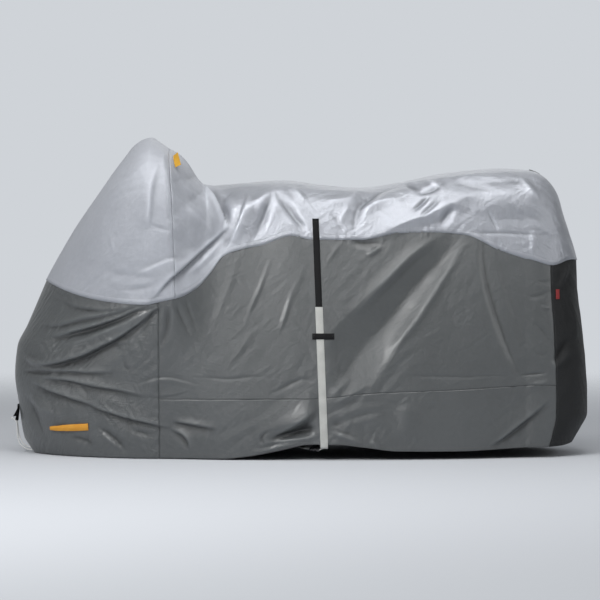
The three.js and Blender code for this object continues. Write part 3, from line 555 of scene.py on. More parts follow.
class Curve:
    """Smooth curve through table values, with no overshoot between them."""

    def __init__(self, keys: Sequence[float], values: Sequence[float]) -> None:
        """Keeps the values and works out the slope at each key.

        Args:
            keys: Rising positions.
            values: Value at each position.
        """
        self.keys = np.asarray(keys, dtype=float)
        self.values = np.asarray(values, dtype=float)
        slope = np.diff(self.values) / np.diff(self.keys)
        product = slope[:-1] * slope[1:]
        total = np.where(product > 0, slope[:-1] + slope[1:], 1.0)
        inner = np.where(product > 0, 2 * product / total, 0.0)
        self.slopes = np.concatenate((slope[:1], inner, slope[-1:]))

    def __call__(self, at: Array) -> Array:
        """Values of the curve, held at its ends.

        Args:
            at: Positions.

        Returns:
            Value at each position.
        """
        key = np.clip(at, self.keys[0], self.keys[-1])
        n = np.clip(np.searchsorted(self.keys, key) - 1, 0, len(self.keys) - 2)
        span = self.keys[n + 1] - self.keys[n]
        t = (key - self.keys[n]) / span
        keep = (1 + 2 * t) * (1 - t) ** 2
        rise = t * (1 - t) ** 2 * span * self.slopes[n]
        fall = t * t * (t - 1) * span * self.slopes[n + 1]
        return keep * self.values[n] + rise + (1 - keep) * self.values[n + 1] + fall


def travel(points: Array) -> Array:
    """Returns the length of a chain of points up to each of them."""
    return np.concatenate(([0.0], np.cumsum(np.linalg.norm(np.diff(points, axis=0), axis=1))))


class Outline:
    """Side-view outline as a function of the share of its length."""

    def __init__(self, spots: Sequence[Spot]) -> None:
        """Measures the chain of spots and lays a curve through each coordinate.

        Args:
            spots: Points of the outline in order.
        """
        points = np.array([(spot.x, spot.z) for spot in spots])
        reach = travel(points)
        self.x = Curve(reach / reach[-1], points[:, 0])
        self.z = Curve(reach / reach[-1], points[:, 1])


def heights(spots: Sequence[Spot]) -> Curve:
    """Returns the heights of an outline as a curve over x."""
    return Curve([spot.x for spot in spots], [spot.z for spot in spots])


def width_of(name: str) -> Curve:
    """Returns one column of the sections as a curve over x."""
    return Curve([row.x for row in SECTIONS], [getattr(row, name) for row in SECTIONS])


def unevenness(points: Array, size: float, shift: float) -> Array:
    """Smooth uneven field over the cloth, the same on every run.

    Args:
        points: Places, with the coordinates in the last axis.
        size: Distance over which the field changes.
        shift: Offset that picks another part of the field.

    Returns:
        Values from about -1 to 1.
    """
    spots = (points.reshape(-1, 3) / size + shift).tolist()
    values = np.fromiter((noise.noise(spot) for spot in spots), float, len(spots))
    return values.reshape(points.shape[:-1])


@dataclass
class CoverForm:
    """Smooth form of the cover and its folds.

    On each side u runs from 0 to 1 round the front, to 2 along the side and to 3 round the rear, and
    v runs from 0 at the hem to 1 at the silver edge and 2 at the top line.
    """

    bars_x: float = -580.0
    tail_x: float = 870.0
    front_sharpness: float = 1.25
    rear_sharpness: float = 0.85
    end_drop: float = 3.0
    skirt_seam_x: float = -545.0
    hood_seam_x: float = -480.0
    hood_lean: float = -38.0
    lean_end_x: float = -330.0
    tail_seam_turn: float = 2.26
    centre_calm: float = 60.0
    belt_top: Spot = Spot(57.0, 925.0)
    belt_foot_x: float = 92.0
    press_reach: float = 48.0
    press_edge: float = 4.0
    wander: float = 7.0
    wander_size: float = 120.0
    corner_dip: float = 29.0
    dip_turn: float = 2.27
    dip_span: float = 0.2
    dip_height: float = 0.25

    SLOPE_STEP = 0.004
    END_MARGIN = 0.012
    TOP_MARGIN = 0.015
    ON_LINE = 0.001
    WANDER_SHIFTS = (3.7, 11.3)

    def __post_init__(self) -> None:
        """Lays the curves through the tables."""
        self.front_lower = Outline(FRONT_LOWER)
        self.front_upper = Outline(FRONT_UPPER)
        self.rear_lower = Outline(REAR_LOWER)
        self.rear_upper = Outline(REAR_UPPER)
        self.ridge_z = heights(RIDGE)
        self.edge_z = heights(SILVER_EDGE)
        self.level_z = heights(LEVEL_SEAM)
        self.hem_z = heights(HEM)
        columns = ("hem", "belly", "edge", "shoulder", "rise", "crown")
        self.widths = {name: width_of(name) for name in columns}
        lean_keys = (self.bars_x, self.hood_seam_x, self.lean_end_x)
        self.seam_lean = Curve(lean_keys, (0.0, self.hood_lean, 0.0))
        small = tuple(fold.moved(**FAR_SHIFT) for fold in NEAR_FOLDS if abs(fold.height) < SMALL_FOLD)
        self.folds = {Side.LEFT: NEAR_FOLDS, Side.RIGHT: FAR_FOLDS + small}

    def along(self, x: float) -> float:
        """Returns u of an upright section."""
        return 1 + (x - self.bars_x) / (self.tail_x - self.bars_x)

    def upright(self, u: Array) -> Array:
        """Returns x of the upright section that belongs to each u."""
        return self.bars_x + (self.tail_x - self.bars_x) * np.clip(u - 1, 0, 1)

    def seam_share(self, u: Array) -> Array:
        """Returns v of the level seam."""
        x = self.upright(u)
        return (self.level_z(x) - self.hem_z(x)) / (self.edge_z(x) - self.hem_z(x))

    def belt_x(self, z: Array) -> Array:
        """Returns the middle of the belly belt at a height."""
        return self.belt_foot_x + (self.belt_top.x - self.belt_foot_x) * z / self.belt_top.z

    def section(self, x: Array, v: Array) -> Array:
        """Half section of the form.

        Args:
            x: Positions of upright sections.
            v: Height shares.

        Returns:
            Points of the right side, with the coordinates in the last axis.
        """
        at = {name: curve(x) for name, curve in self.widths.items()}
        low = np.minimum(v, 1)
        bend = 4 * low * (1 - low) * (at["belly"] - (at["hem"] + at["edge"]) / 2)
        low_y = at["hem"] + (at["edge"] - at["hem"]) * low + bend
        low_z = self.hem_z(x) + (self.edge_z(x) - self.hem_z(x)) * low
        t = np.clip(v - 1, 0, 1)
        s = 1 - t
        lean = self.seam_lean(x)
        top = self.ridge_z(x + lean)
        high_y = s**3 * at["edge"] + 3 * s * s * t * at["shoulder"] + 3 * s * t * t * at["crown"]
        high_z = s**3 * self.edge_z(x) + 3 * s * s * t * at["rise"] + (3 * s * t * t + t**3) * top
        y = np.where(v > 1, high_y, low_y)
        z = np.where(v > 1, high_z, low_z)
        return np.stack((x + lean * t, y, z), axis=-1)

    def form(self, side: Side, u: Array, v: Array) -> Array:
        """Smooth form without folds.

        Args:
            side: Side of the cover.
            u: Places along the cover.
            v: Height shares.

        Returns:
            Points, with the coordinates in the last axis.
        """
        u, v = np.broadcast_arrays(np.asarray(u, dtype=float), np.asarray(v, dtype=float))
        root = self.section(self.upright(u), v)
        rear = u > 2
        low = np.minimum(v, 1)
        high = np.clip(v - 1, 0, 1)
        front_x = np.where(v > 1, self.front_upper.x(high), self.front_lower.x(low))
        front_z = np.where(v > 1, self.front_upper.z(high), self.front_lower.z(low))
        rear_x = np.where(v > 1, self.rear_upper.x(high), self.rear_lower.x(low))
        rear_z = np.where(v > 1, self.rear_upper.z(high), self.rear_lower.z(low))
        tip_x = np.where(rear, rear_x, front_x)
        tip_z = np.where(rear, rear_z, front_z)
        angle = np.minimum(np.where(rear, 3 - u, u), 1) * np.pi / 2
        sharpness = np.where(rear, self.rear_sharpness, self.front_sharpness)
        facing = np.maximum(np.cos(angle), 0)
        x = root[..., 0] + (tip_x - root[..., 0]) * facing**sharpness
        y = root[..., 1] * np.sin(angle) ** sharpness
        z = root[..., 2] + (tip_z - root[..., 2]) * facing**self.end_drop
        beside = ((u - self.dip_turn) / self.dip_span) ** 2 + ((v - 1) / self.dip_height) ** 2
        z -= self.corner_dip * np.exp(-beside)
        return np.stack((x, side.value * y, z), axis=-1)

    def outward(self, side: Side, u: Array, v: Array) -> Array:
        """Outward directions of the smooth form.

        Args:
            side: Side of the cover.
            u: Places along the cover.
            v: Height shares.

        Returns:
            Unit directions, with the coordinates in the last axis.
        """
        mid_u = np.clip(u, self.END_MARGIN, 3 - self.END_MARGIN)
        mid_v = np.clip(v, self.SLOPE_STEP, 2 - self.TOP_MARGIN)
        step = self.SLOPE_STEP
        along_u = self.form(side, mid_u + step, mid_v) - self.form(side, mid_u - step, mid_v)
        along_v = self.form(side, mid_u, mid_v + step) - self.form(side, mid_u, mid_v - step)
        normal = -side.value * np.cross(along_u, along_v)
        normal[..., 1] = np.where(self.on_centre(u, v), 0, normal[..., 1])
        return normal / np.linalg.norm(normal, axis=-1, keepdims=True)

    def on_centre(self, u: Array, v: Array) -> Array:
        """Returns which places lie on the centre line."""
        return (u < self.ON_LINE) | (u > 3 - self.ON_LINE) | (v > 2 - self.ON_LINE)

    def fold_lift(self, side: Side, base: Array) -> Array:
        """Lift of all folds and gathers.

        Args:
            side: Side of the cover.
            base: Points of the smooth form.

        Returns:
            Lift along the outward direction, none on the centre line or under the belt.
        """
        flat = base.reshape(-1, 3)
        strays = [self.wander * unevenness(flat, self.wander_size, shift) for shift in self.WANDER_SHIFTS]
        x = flat[:, 0] + strays[0]
        z = flat[:, 2] + strays[1]
        lift = np.zeros(len(flat))
        for fold in self.folds[side]:
            lift += fold.lift(x, z)
        for gather in GATHERS:
            lift += gather.lift(flat[:, 0], flat[:, 2] - self.edge_z(flat[:, 0]))
        beside = (flat[:, 0] - self.belt_x(flat[:, 2])) / self.press_reach
        free = 1 - np.exp(-(beside**self.press_edge))
        aside = 1 - np.exp(-((flat[:, 1] / self.centre_calm) ** 2))
        return (lift * free * aside).reshape(base.shape[:-1])


def evenly(path: Callable[[Array], Array], first: float, last: float, cell: float) -> Array:
    """Cuts a path on the form into equal lengths.

    Args:
        path: Points of the path at parameter values.
        first: Parameter at its start.
        last: Parameter at its end.
        cell: Wanted length of a piece.

    Returns:
        Parameter values, with both ends.
    """
    fine = np.linspace(first, last, PATH_SAMPLES)
    reach = travel(path(fine))
    count = max(math.ceil(reach[-1] / cell), 2)
    return np.interp(np.linspace(0, reach[-1], count + 1), reach, fine)


@dataclass
class Faces:
    """Faces of one kind in a mesh: corners of triangles or quads, material index and shading."""

    corners: Array
    finish: int = 0
    smooth: bool = True


def linked(name: str, data: bpy.types.ID) -> Piece:
    """New object, linked to the scene.

    Args:
        name: Name of the object.
        data: Its mesh, curve, lamp or camera.

    Returns:
        The object.
    """
    piece = bpy.data.objects.new(name, data)
    bpy.context.scene.collection.objects.link(piece)
    return piece


def new_mesh(
    name: str, points: Array, groups: Sequence[Faces], finishes: Sequence[Material],
    marks: dict[str, Array] | None = None,
) -> Piece:
    """Object from points in millimetres and faces.

    Args:
        name: Name of the piece.
        points: Corner positions.
        groups: Faces, in groups of one size and finish.
        finishes: Materials that the groups point to.
        marks: Values at each point that the finish reads, by name.

    Returns:
        The new object, linked to the scene.
    """
    mesh = bpy.data.meshes.new(name)
    sizes = np.concatenate([np.full(len(group.corners), group.corners.shape[1]) for group in groups])
    corners = np.concatenate([group.corners.ravel() for group in groups])
    starts = np.concatenate(([0], np.cumsum(sizes)[:-1]))
    mesh.vertices.add(len(points))
    mesh.vertices.foreach_set("co", (np.asarray(points) * MM).astype(np.float32).ravel())
    mesh.loops.add(len(corners))
    mesh.loops.foreach_set("vertex_index", corners.astype(np.int32))
    mesh.polygons.add(len(sizes))
    mesh.polygons.foreach_set("loop_start", starts.astype(np.int32))
    slots = np.concatenate([np.full(len(group.corners), group.finish) for group in groups])
    smooth = np.concatenate([np.full(len(group.corners), group.smooth) for group in groups])
    mesh.polygons.foreach_set("material_index", slots.astype(np.int32))
    mesh.polygons.foreach_set("use_smooth", smooth)
    mesh.update(calc_edges=True)
    mesh.validate()
    for finish in finishes:
        mesh.materials.append(finish)
    for mark, values in (marks or {}).items():
        layer = mesh.attributes.new(mark, "FLOAT", "POINT")
        layer.data.foreach_set("value", values.astype(np.float32))
    return linked(name, mesh)


def evened(values: Array, reach: int) -> Array:
    """Grid values averaged over a square of cells round each point.

    Args:
        values: Values of a grid.
        reach: Cells to each side of a point.

    Returns:
        The averaged grid.
    """
    for axis in (0, 1):
        before = np.take(values, [0] * (reach + 1), axis)
        after = np.take(values, [-1] * reach, axis)
        sums = np.cumsum(np.concatenate([before, values, after], axis), axis)
        count = values.shape[axis]
        ahead = np.take(sums, np.arange(count) + 2 * reach + 1, axis)
        behind = np.take(sums, np.arange(count), axis)
        values = (ahead - behind) / (2 * reach + 1)
    return values


def attach(piece: Piece, slot: str, node: str | None = None) -> None:
    """Puts a piece on the body, logs its slot and hides the node that it stands for.

    Args:
        piece: The piece.
        slot: Slot of the record that its finish follows.
        node: Node that it replaces, if any.
    """
    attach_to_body(piece, BODY)
    if node is not None:
        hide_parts(node)
    LOG.info("%s: %s", piece.name, slot)


@dataclass
class ClothPanel:
    """One cut panel of cloth, draped as a thin closed sheet."""

    name: str
    node: str
    slot: str
    sides: tuple[Side, ...]
    lines: tuple[float, float]
    band: Band
    edges: dict[Edge, Sewing]
    flat: tuple[float, float]
    area: float
    held: str
    creases: tuple[CreaseField, ...]
    finish: str
    cell: float = 6.5
    thick: float = 1.2
    seam_gap: float = 0.15
    seam_roll: float = 0.25
    # Share of painted shade in the seam lines
    seam_shade: float = 0.14
    roll_reach: float = 5.0
    lap: float = 8.0
    lap_rise: float = 2.2
    lap_reach: float = 70.0
    # Reach in cells and height in millimetres of the painted shading of hollows and crests
    shading_reach: int = 5
    shading_height: float = 5.0

    CORE_LOW = (-500.0, 0.0, 300.0)
    CORE_HIGH = (800.0, 0.0, 800.0)
    SILVER_LINE = 0.65
    SILVER_ROW = 0.3
    CREASE_SHIFT = 1.3
    WELD_DECIMALS = 3

    def share(self, form: CoverForm, u: Array, row: Array) -> Array:
        """Height shares of the panel's rows.

        Args:
            form: Form that it hangs on.
            u: Places along the cover.
            row: Rows from 0 to 1 over the panel's band.

        Returns:
            v of each place.
        """
        if self.band is Band.HEM:
            return form.seam_share(u) * row
        if self.band is Band.SIDE:
            return form.seam_share(u) + (1 - form.seam_share(u)) * row
        if self.band is Band.SKIRT:
            return row + 0 * u
        return 1 + row + 0 * u

    def grid(self, form: CoverForm) -> tuple[Array, Array]:
        """Grid of the panel, evenly spaced along one row and one line on the form.

        Args:
            form: Form that it hangs on.

        Returns:
            u and v of each grid point.
        """
        near = self.sides[0]
        first, last = self.lines
        middle = (first + last) / 2
        height = 0.5
        if self.band is Band.SILVER:
            middle = (1 - self.SILVER_LINE) * first + self.SILVER_LINE * last
            height = self.SILVER_ROW

        def across(u: Array) -> Array:
            """Returns points of the measured row."""
            return form.form(near, u, self.share(form, u, np.full(u.shape, height)))

        def upward(row: Array) -> Array:
            """Returns points of the measured line."""
            u = np.full(row.shape, middle)
            return form.form(near, u, self.share(form, u, row))

        lines = evenly(across, first, last, self.cell)
        rows = evenly(upward, 0.0, 1.0, self.cell)
        u = np.repeat(lines[:, None], len(rows), axis=1)
        v = self.share(form, u, rows[None, :])
        return u, v

    @staticmethod
    def reach(points: Array, axis: int, end: int) -> Array:
        """Distance of each grid point from one end of an axis, along the grid.

        Args:
            points: Points of the grid.
            axis: Axis of the grid.
            end: 0 for its start and -1 for its end.

        Returns:
            Distance of each point.
        """
        steps = np.linalg.norm(np.diff(points, axis=axis), axis=-1)
        gap = np.concatenate((np.zeros_like(np.take(steps, [0], axis)), np.cumsum(steps, axis)), axis)
        return gap if end == 0 else np.take(gap, [-1], axis) - gap

    def edging(self, points: Array) -> tuple[Array, Array]:
        """Place of each grid point beside the panel's sewn edges.

        Args:
            points: Sewn points of the grid.

        Returns:
            Distance from the nearest sewn edge, and the place along that edge.
        """
        gaps = np.full(points.shape[:2], np.inf)
        runs = np.zeros(points.shape[:2])
        for edge, sewing in self.edges.items():
            if sewing is Sewing.TUCK:
                continue
            axis, end = edge.value
            gap = self.reach(points, axis, end)
            closer = gap < gaps
            runs = np.where(closer, self.reach(points, 1 - axis, 0), runs)
            gaps = np.where(closer, gap, gaps)
        return gaps, runs

    def line(self, side: Side, edge: Edge, inset: float) -> tuple[Array, Array]:
        """Line on the draped panel at an even distance from one edge.

        Args:
            side: Side of the cover.
            edge: Edge of the panel.
            inset: Distance from it.

        Returns:
            Points of the line and the outward directions at them.
        """
        axis, end = edge.value
        points = np.moveaxis(self.grids[side], axis, 0)
        points = points if end == 0 else points[::-1]
        gap = self.reach(points, 0, 0)
        row = np.clip((gap < inset).sum(axis=0) - 1, 0, len(gap) - 2)
        column = np.arange(gap.shape[1])
        low, high = points[row, column], points[row + 1, column]
        share = (inset - gap[row, column]) / (gap[row + 1, column] - gap[row, column])
        spots = low + (high - low) * share[:, None]
        ups = np.cross(np.gradient(spots, axis=0), high - low)
        middle = np.clip(spots, self.CORE_LOW, self.CORE_HIGH)
        ups *= np.sign(np.sum(ups * (spots - middle), axis=1, keepdims=True))
        return spots, ups / np.linalg.norm(ups, axis=1, keepdims=True)

    def sewn(self, points: Array, normals: Array) -> Array:
        """Points with the panel's edges turned in, lapped or tucked.

        Args:
            points: Draped points of the grid.
            normals: Outward directions at them.

        Returns:
            The moved points.
        """
        lift = np.zeros(points.shape[:2])
        for edge, sewing in self.edges.items():
            gap = self.reach(points, *edge.value)
            if sewing is Sewing.SEAM:
                lift -= self.seam_roll * np.exp(-((gap / self.roll_reach) ** 2))
            if sewing is Sewing.LAP:
                lift += self.lap_rise * np.exp(-((gap / self.lap_reach) ** 2))
            if sewing is Sewing.TUCK:
                lift -= self.seam_gap * np.exp(-((gap / self.roll_reach) ** 2))
        moved = points + normals * lift[..., None]
        for edge, sewing in self.edges.items():
            if sewing is Sewing.HEM:
                continue
            axis, end = edge.value
            border = np.take(moved, end, axis)
            inside = np.take(moved, 1 if end == 0 else -2, axis)
            way = inside - border
            way /= np.maximum(np.linalg.norm(way, axis=-1, keepdims=True), TINY)
            shift = -self.lap if sewing is Sewing.LAP else self.seam_gap
            if axis == 0:
                moved[end] = border + way * shift
            else:
                moved[:, end] = border + way * shift
        return moved

    def build(self, form: CoverForm, finish: Material, lining: Material) -> Piece:
        """Drapes the panel and makes its closed mesh.

        Args:
            form: Form that it hangs on.
            finish: Material of its outer face.
            lining: Material of its inner face.

        Returns:
            The piece.
        """
        u, v = self.grid(form)
        centre = form.on_centre(u, v)
        clouds = []
        quads = []
        marks: dict[str, list[Array]] = {PAINTED_SHADING: [], EDGE_GAP: [], EDGE_RUN: []}
        start = 0
        index = np.arange(u.size).reshape(u.shape)
        self.grids: dict[Side, Array] = {}
        for side in self.sides:
            base = form.form(side, u, v)
            normals = form.outward(side, u, v)
            calm = 1 - np.exp(-((base[..., 1] / form.centre_calm) ** 2))
            fine = sum(layer.lift(base, self.CREASE_SHIFT * side.value) for layer in self.creases)
            lift = form.fold_lift(side, base) + fine * calm
            # Painted shading: how far each point stands proud of its neighbours, later painted as shade in
            # hollows and as a highlight on crests
            proud = (lift - evened(lift, self.shading_reach)) / self.shading_height
            points = self.sewn(base + normals * lift[..., None], normals)
            gap, run = self.edging(points)
            shade = np.clip(0.5 + 0.5 * proud, 0, 1)
            # Painted shade along the seam lines of panels with no lapped edge
            if Sewing.LAP not in self.edges.values():
                shade = shade - self.seam_shade * np.exp(-((gap / self.roll_reach) ** 2))
            for mark, values in zip(marks, (shade, gap * MM, run * MM)):
                marks[mark].append(values.ravel())
            if clouds:
                points[centre] = self.grids[self.sides[0]][centre]
            self.grids[side] = points
            corners = np.stack((index[:-1, :-1], index[1:, :-1], index[1:, 1:], index[:-1, 1:]), axis=-1)
            corners = corners.reshape(-1, 4) + start
            quads.append(corners if side is Side.LEFT else corners[:, [3, 2, 1, 0]])
            clouds.append(points.reshape(-1, 3))
            start += u.size
        joined = {mark: np.concatenate(values) for mark, values in marks.items()}
        piece = self.thicken(np.concatenate(clouds), np.concatenate(quads), joined, finish, lining)
        attach(piece, self.slot, self.node)
        return piece

    def thicken(
        self, cloud: Array, quads: Array, marks: dict[str, Array], finish: Material, lining: Material
    ) -> Piece:
        """Closed sheet from an outer skin.

        Args:
            cloud: Points of the skin, doubled where the sides meet.
            quads: Corners of its cells.
            marks: Values of each point that the finish reads.
            finish: Material of the outer face and the edges.
            lining: Material of the inner face.

        Returns:
            The mesh object.
        """
        rounded = np.round(cloud, self.WELD_DECIMALS) + 0.0
        keys, place = np.unique(rounded, axis=0, return_inverse=True)
        place = place.reshape(-1)
        quads = place[quads]
        pinched = (quads[:, 2] == quads[:, 3]) | (quads[:, 0] == quads[:, 1])
        thin = quads[pinched]
        apex = np.where(thin[:, 0] == thin[:, 1], thin[:, 3], thin[:, 0])
        trios = np.stack((apex, thin[:, 1], thin[:, 2]), axis=-1)
        whole = (trios[:, 0] != trios[:, 1]) & (trios[:, 1] != trios[:, 2]) & (trios[:, 0] != trios[:, 2])
        trios = trios[whole]
        quads = quads[~pinched]
        normals = np.zeros_like(keys)
        for faces in (quads, trios):
            first_way = keys[faces[:, 2]] - keys[faces[:, 0]]
            second_way = keys[faces[:, -1]] - keys[faces[:, 1]]
            facing = np.cross(first_way, second_way)
            for corner in range(faces.shape[1]):
                np.add.at(normals, faces[:, corner], facing)
        normals /= np.maximum(np.linalg.norm(normals, axis=1, keepdims=True), TINY)
        count = len(keys)
        links = np.concatenate([
            np.stack((faces[:, n], np.roll(faces, -1, 1)[:, n]), -1)
            for faces in (quads, trios)
            for n in range(faces.shape[1])
        ])
        there = links[:, 0] * count + links[:, 1]
        back = links[:, 1] * count + links[:, 0]
        free = links[~np.isin(there, back)]
        walls = np.stack((free[:, 1], free[:, 0], free[:, 0] + count, free[:, 1] + count), axis=-1)
        points = np.concatenate((keys, keys - normals * self.thick))
        self.outer = (keys, quads, trios)
        groups = (
            Faces(quads),
            Faces(quads[:, ::-1] + count, finish=1),
            Faces(walls, smooth=False),
            Faces(trios),
            Faces(trios[:, ::-1] + count, finish=1),
        )
        filled = [group for group in groups if len(group.corners)]
        kept = {}
        for mark, values in marks.items():
            skin = np.zeros(count)
            skin[place] = values
            kept[mark] = np.concatenate((skin, skin))
        return new_mesh(self.name, points, filled, (finish, lining), kept)


class ClothSeat:
    """Finds places on the draped cloth for the trim to lie on."""

    FAR = 3000.0
    PROBES = (-0.6, -0.3, 0.0, 0.3, 0.6)

    def __init__(self, sheets: Sequence[ClothPanel]) -> None:
        """Gathers the outer faces of all panels in one search tree.

        Args:
            sheets: Built panels.
        """
        spots: list[list[float]] = []
        faces: list[list[int]] = []
        for sheet in sheets:
            keys, quads, trios = sheet.outer
            start = len(spots)
            spots.extend(keys.tolist())
            faces.extend((quads + start).tolist())
            faces.extend((trios + start).tolist())
        self.tree = BVHTree.FromPolygons(spots, faces)

    def level(self, side: Side, x: float, z: float) -> tuple[Vector, Vector]:
        """Returns the place on one side at a side-view position, and the outward direction there."""
        hit = self.tree.ray_cast(Vector((x, side.value * self.FAR, z)), Vector((0, -side.value, 0)))
        return hit[0], hit[1]

    def beside(self, side: Side, x: float, z: float) -> Vector:
        """Returns the place on one side at a side-view position."""
        return self.level(side, x, z)[0]

    def trace(self, side: Side, spots: Sequence[Spot], step: float = 4.0) -> tuple[Array, Array]:
        """Line on one side through side-view positions.

        Args:
            side: Side of the cover.
            spots: Positions in order.
            step: Distance between points of the line.

        Returns:
            Points of the line and the outward directions at them.
        """
        line = []
        ups = []
        for first, last in zip(spots, spots[1:]):
            count = math.ceil(math.hypot(last.x - first.x, last.z - first.z) / step)
            for n in range(count + 1):
                place = first.toward(last, n / count)
                spot, up = self.level(side, place.x, place.z)
                line.append(tuple(spot))
                ups.append(tuple(up))
        return np.array(line), np.array(ups)

    def above(self, x: float, y: float) -> Vector:
        """Returns the highest place at a plan position."""
        return self.tree.ray_cast(Vector((x, y, self.FAR)), Vector((0, 0, -1)))[0]


@dataclass
class Station:
    """Cross-section of a strap: middle of its underside, directions, width and thickness."""

    at: Vector
    across: Vector
    up: Vector
    width: float
    thick: float

    def rolled(self, angle: float) -> "Station":
        """Returns the station turned about the length of its strap."""
        cos, sin = math.cos(angle), math.sin(angle)
        return replace(self, across=self.across * cos - self.up * sin, up=self.up * cos + self.across * sin)


@dataclass
class Strap:
    """Flat woven strap through stations, with ribs across its length and rounded selvedges."""

    name: str
    stations: list[Station]
    rib_pitch: float = 3.2
    rib_depth: float = 0.12

    SELVEDGE = 0.6

    # Round the section: side, 1 where the selvedge turns in, and share of the thickness
    PROFILE = (
        (-1, 0, 0.25), (-1, 1, 0.0), (1, 1, 0.0), (1, 0, 0.25),
        (1, 0, 0.75), (1, 1, 1.0), (-1, 1, 1.0), (-1, 0, 0.75),
    )

    def fine(self) -> list[Station]:
        """Stations at half the rib pitch.

        Returns:
            The given stations and those between them.
        """
        made = []
        for first, last in zip(self.stations, self.stations[1:]):
            count = max(round((last.at - first.at).length / (self.rib_pitch / 2)), 1)
            for n in range(count):
                t = n / count
                made.append(Station(
                    first.at.lerp(last.at, t),
                    first.across.lerp(last.across, t).normalized(),
                    first.up.lerp(last.up, t).normalized(),
                    first.width + (last.width - first.width) * t,
                    first.thick + (last.thick - first.thick) * t,
                ))
        made.append(self.stations[-1])
        return made

    def sew(self, bars: "Stitching", picks: Sequence[int]) -> None:
        """Adds rows of stitches across the strap's face.

        Args:
            bars: Stitching that takes them up.
            picks: Stations that have a row.
        """
        for pick in picks:
            station = self.stations[pick]
            half = station.across * (station.width / 2 - self.SELVEDGE)
            face = station.at + station.up * station.thick
            line = np.array([tuple(face - half), tuple(face + half)])
            bars.row(line, np.array([tuple(station.up)] * 2))

    def build(self, finish: Material) -> Piece:
        """Mesh of the strap.

        Args:
            finish: Material.

        Returns:
            The piece.
        """
        points = []
        for n, station in enumerate(self.fine()):
            rib = 1 + self.rib_depth * (-1) ** n
            for side, turned, height in self.PROFILE:
                reach = side * (station.width / 2 - turned * self.SELVEDGE)
                lift = station.thick * (0.5 + (height - 0.5) * rib)
                points.append(station.at + station.across * reach + station.up * lift)
        ring = len(self.PROFILE)
        rows = len(points) // ring
        index = np.arange(len(points)).reshape(rows, ring)
        ahead = np.roll(index, -1, axis=1)
        sides = np.stack((index[:-1], ahead[:-1], ahead[1:], index[1:]), axis=-1).reshape(-1, 4)
        caps = np.stack((index[0, ::-1], index[-1]))
        first, second, third = (points[n] for n in (0, 1, ring))
        if (second - first).cross(third - first).dot(self.stations[0].up) > 0:
            sides = sides[:, ::-1]
            caps = caps[:, ::-1]
        groups = (Faces(sides), Faces(caps, smooth=False))
        return new_mesh(self.name, np.array([tuple(point) for point in points]), groups, (finish,))


def lying(
    seat: ClothSeat, side: Side, place: Spot, turn: float, width: float, thick: float, lift: float
) -> Station:
    """Station of a strap that lies on the cloth.

    Args:
        seat: Search tree of the cloth.
        side: Side of the cover.
        place: Middle of its width in side view.
        turn: Side-view direction of its width.
        width: Width of the strap.
        thick: Thickness of the strap.
        lift: Gap between the cloth and the strap.

    Returns:
        The station, raised clear of the cloth under it.
    """
    x, z = place.x, place.z
    half_x = math.cos(turn) * width / 2
    half_z = math.sin(turn) * width / 2
    low = seat.beside(side, x - half_x, z - half_z)
    high = seat.beside(side, x + half_x, z + half_z)
    across = (high - low).normalized()
    ahead = seat.beside(side, x - half_z / 2, z + half_x / 2)
    behind = seat.beside(side, x + half_z / 2, z - half_x / 2)
    up = across.cross(ahead - behind).normalized()
    if up.y * side.value < 0:
        up.negate()
    at = (low + high) / 2
    between = [seat.beside(side, x + half_x * share, z + half_z * share) for share in seat.PROBES]
    proud = max(0.0, *((spot - at).dot(up) for spot in between))
    return Station(at + up * (lift + proud), across, up, width, thick)


@dataclass
class Stitching:
    """Rows of thread stitches, each a small boat-shaped solid on the cloth."""

    name: str
    pitch: float = 7.0
    length: float = 4.8
    width: float = 1.3
    height: float = 0.7
    sink: float = 0.1

    CORNERS = 5
    FACES = ((0, 3, 4), (0, 4, 2), (1, 4, 3), (1, 2, 4), (0, 2, 1), (0, 1, 3))

    def __post_init__(self) -> None:
        """Starts with no stitches."""
        self.points: list[Array] = []

    def row(self, line: Array, ups: Array) -> None:
        """Adds stitches along a line.

        Args:
            line: Points of the line.
            ups: Outward directions at them.
        """
        reach = travel(line)
        middles = np.arange(self.pitch, reach[-1] - self.pitch, self.pitch)
        ends = []
        for shift in (-self.length / 2, self.length / 2, 0.0):
            at = middles + shift
            ends.append(np.stack([np.interp(at, reach, line[:, n]) for n in range(3)], axis=-1))
        up = np.stack([np.interp(middles, reach, ups[:, n]) for n in range(3)], axis=-1)
        start, end, middle = (spots - up * self.sink for spots in ends)
        beside = np.cross(up, end - start)
        beside *= self.width / 2 / np.linalg.norm(beside, axis=1, keepdims=True)
        top = middle + up * self.height
        corners = (start, end, middle + beside, middle - beside, top)
        self.points.append(np.stack(corners, axis=1).reshape(-1, 3))

    def build(self, finish: Material) -> Piece:
        """All rows as one mesh.

        Args:
            finish: Material.

        Returns:
            The piece.
        """
        points = np.concatenate(self.points)
        corners = np.array(self.FACES)
        starts = np.arange(0, len(points), self.CORNERS)
        faces = (corners[None] + starts[:, None, None]).reshape(-1, 3)
        return new_mesh(self.name, points, (Faces(faces, smooth=False),), (finish,))


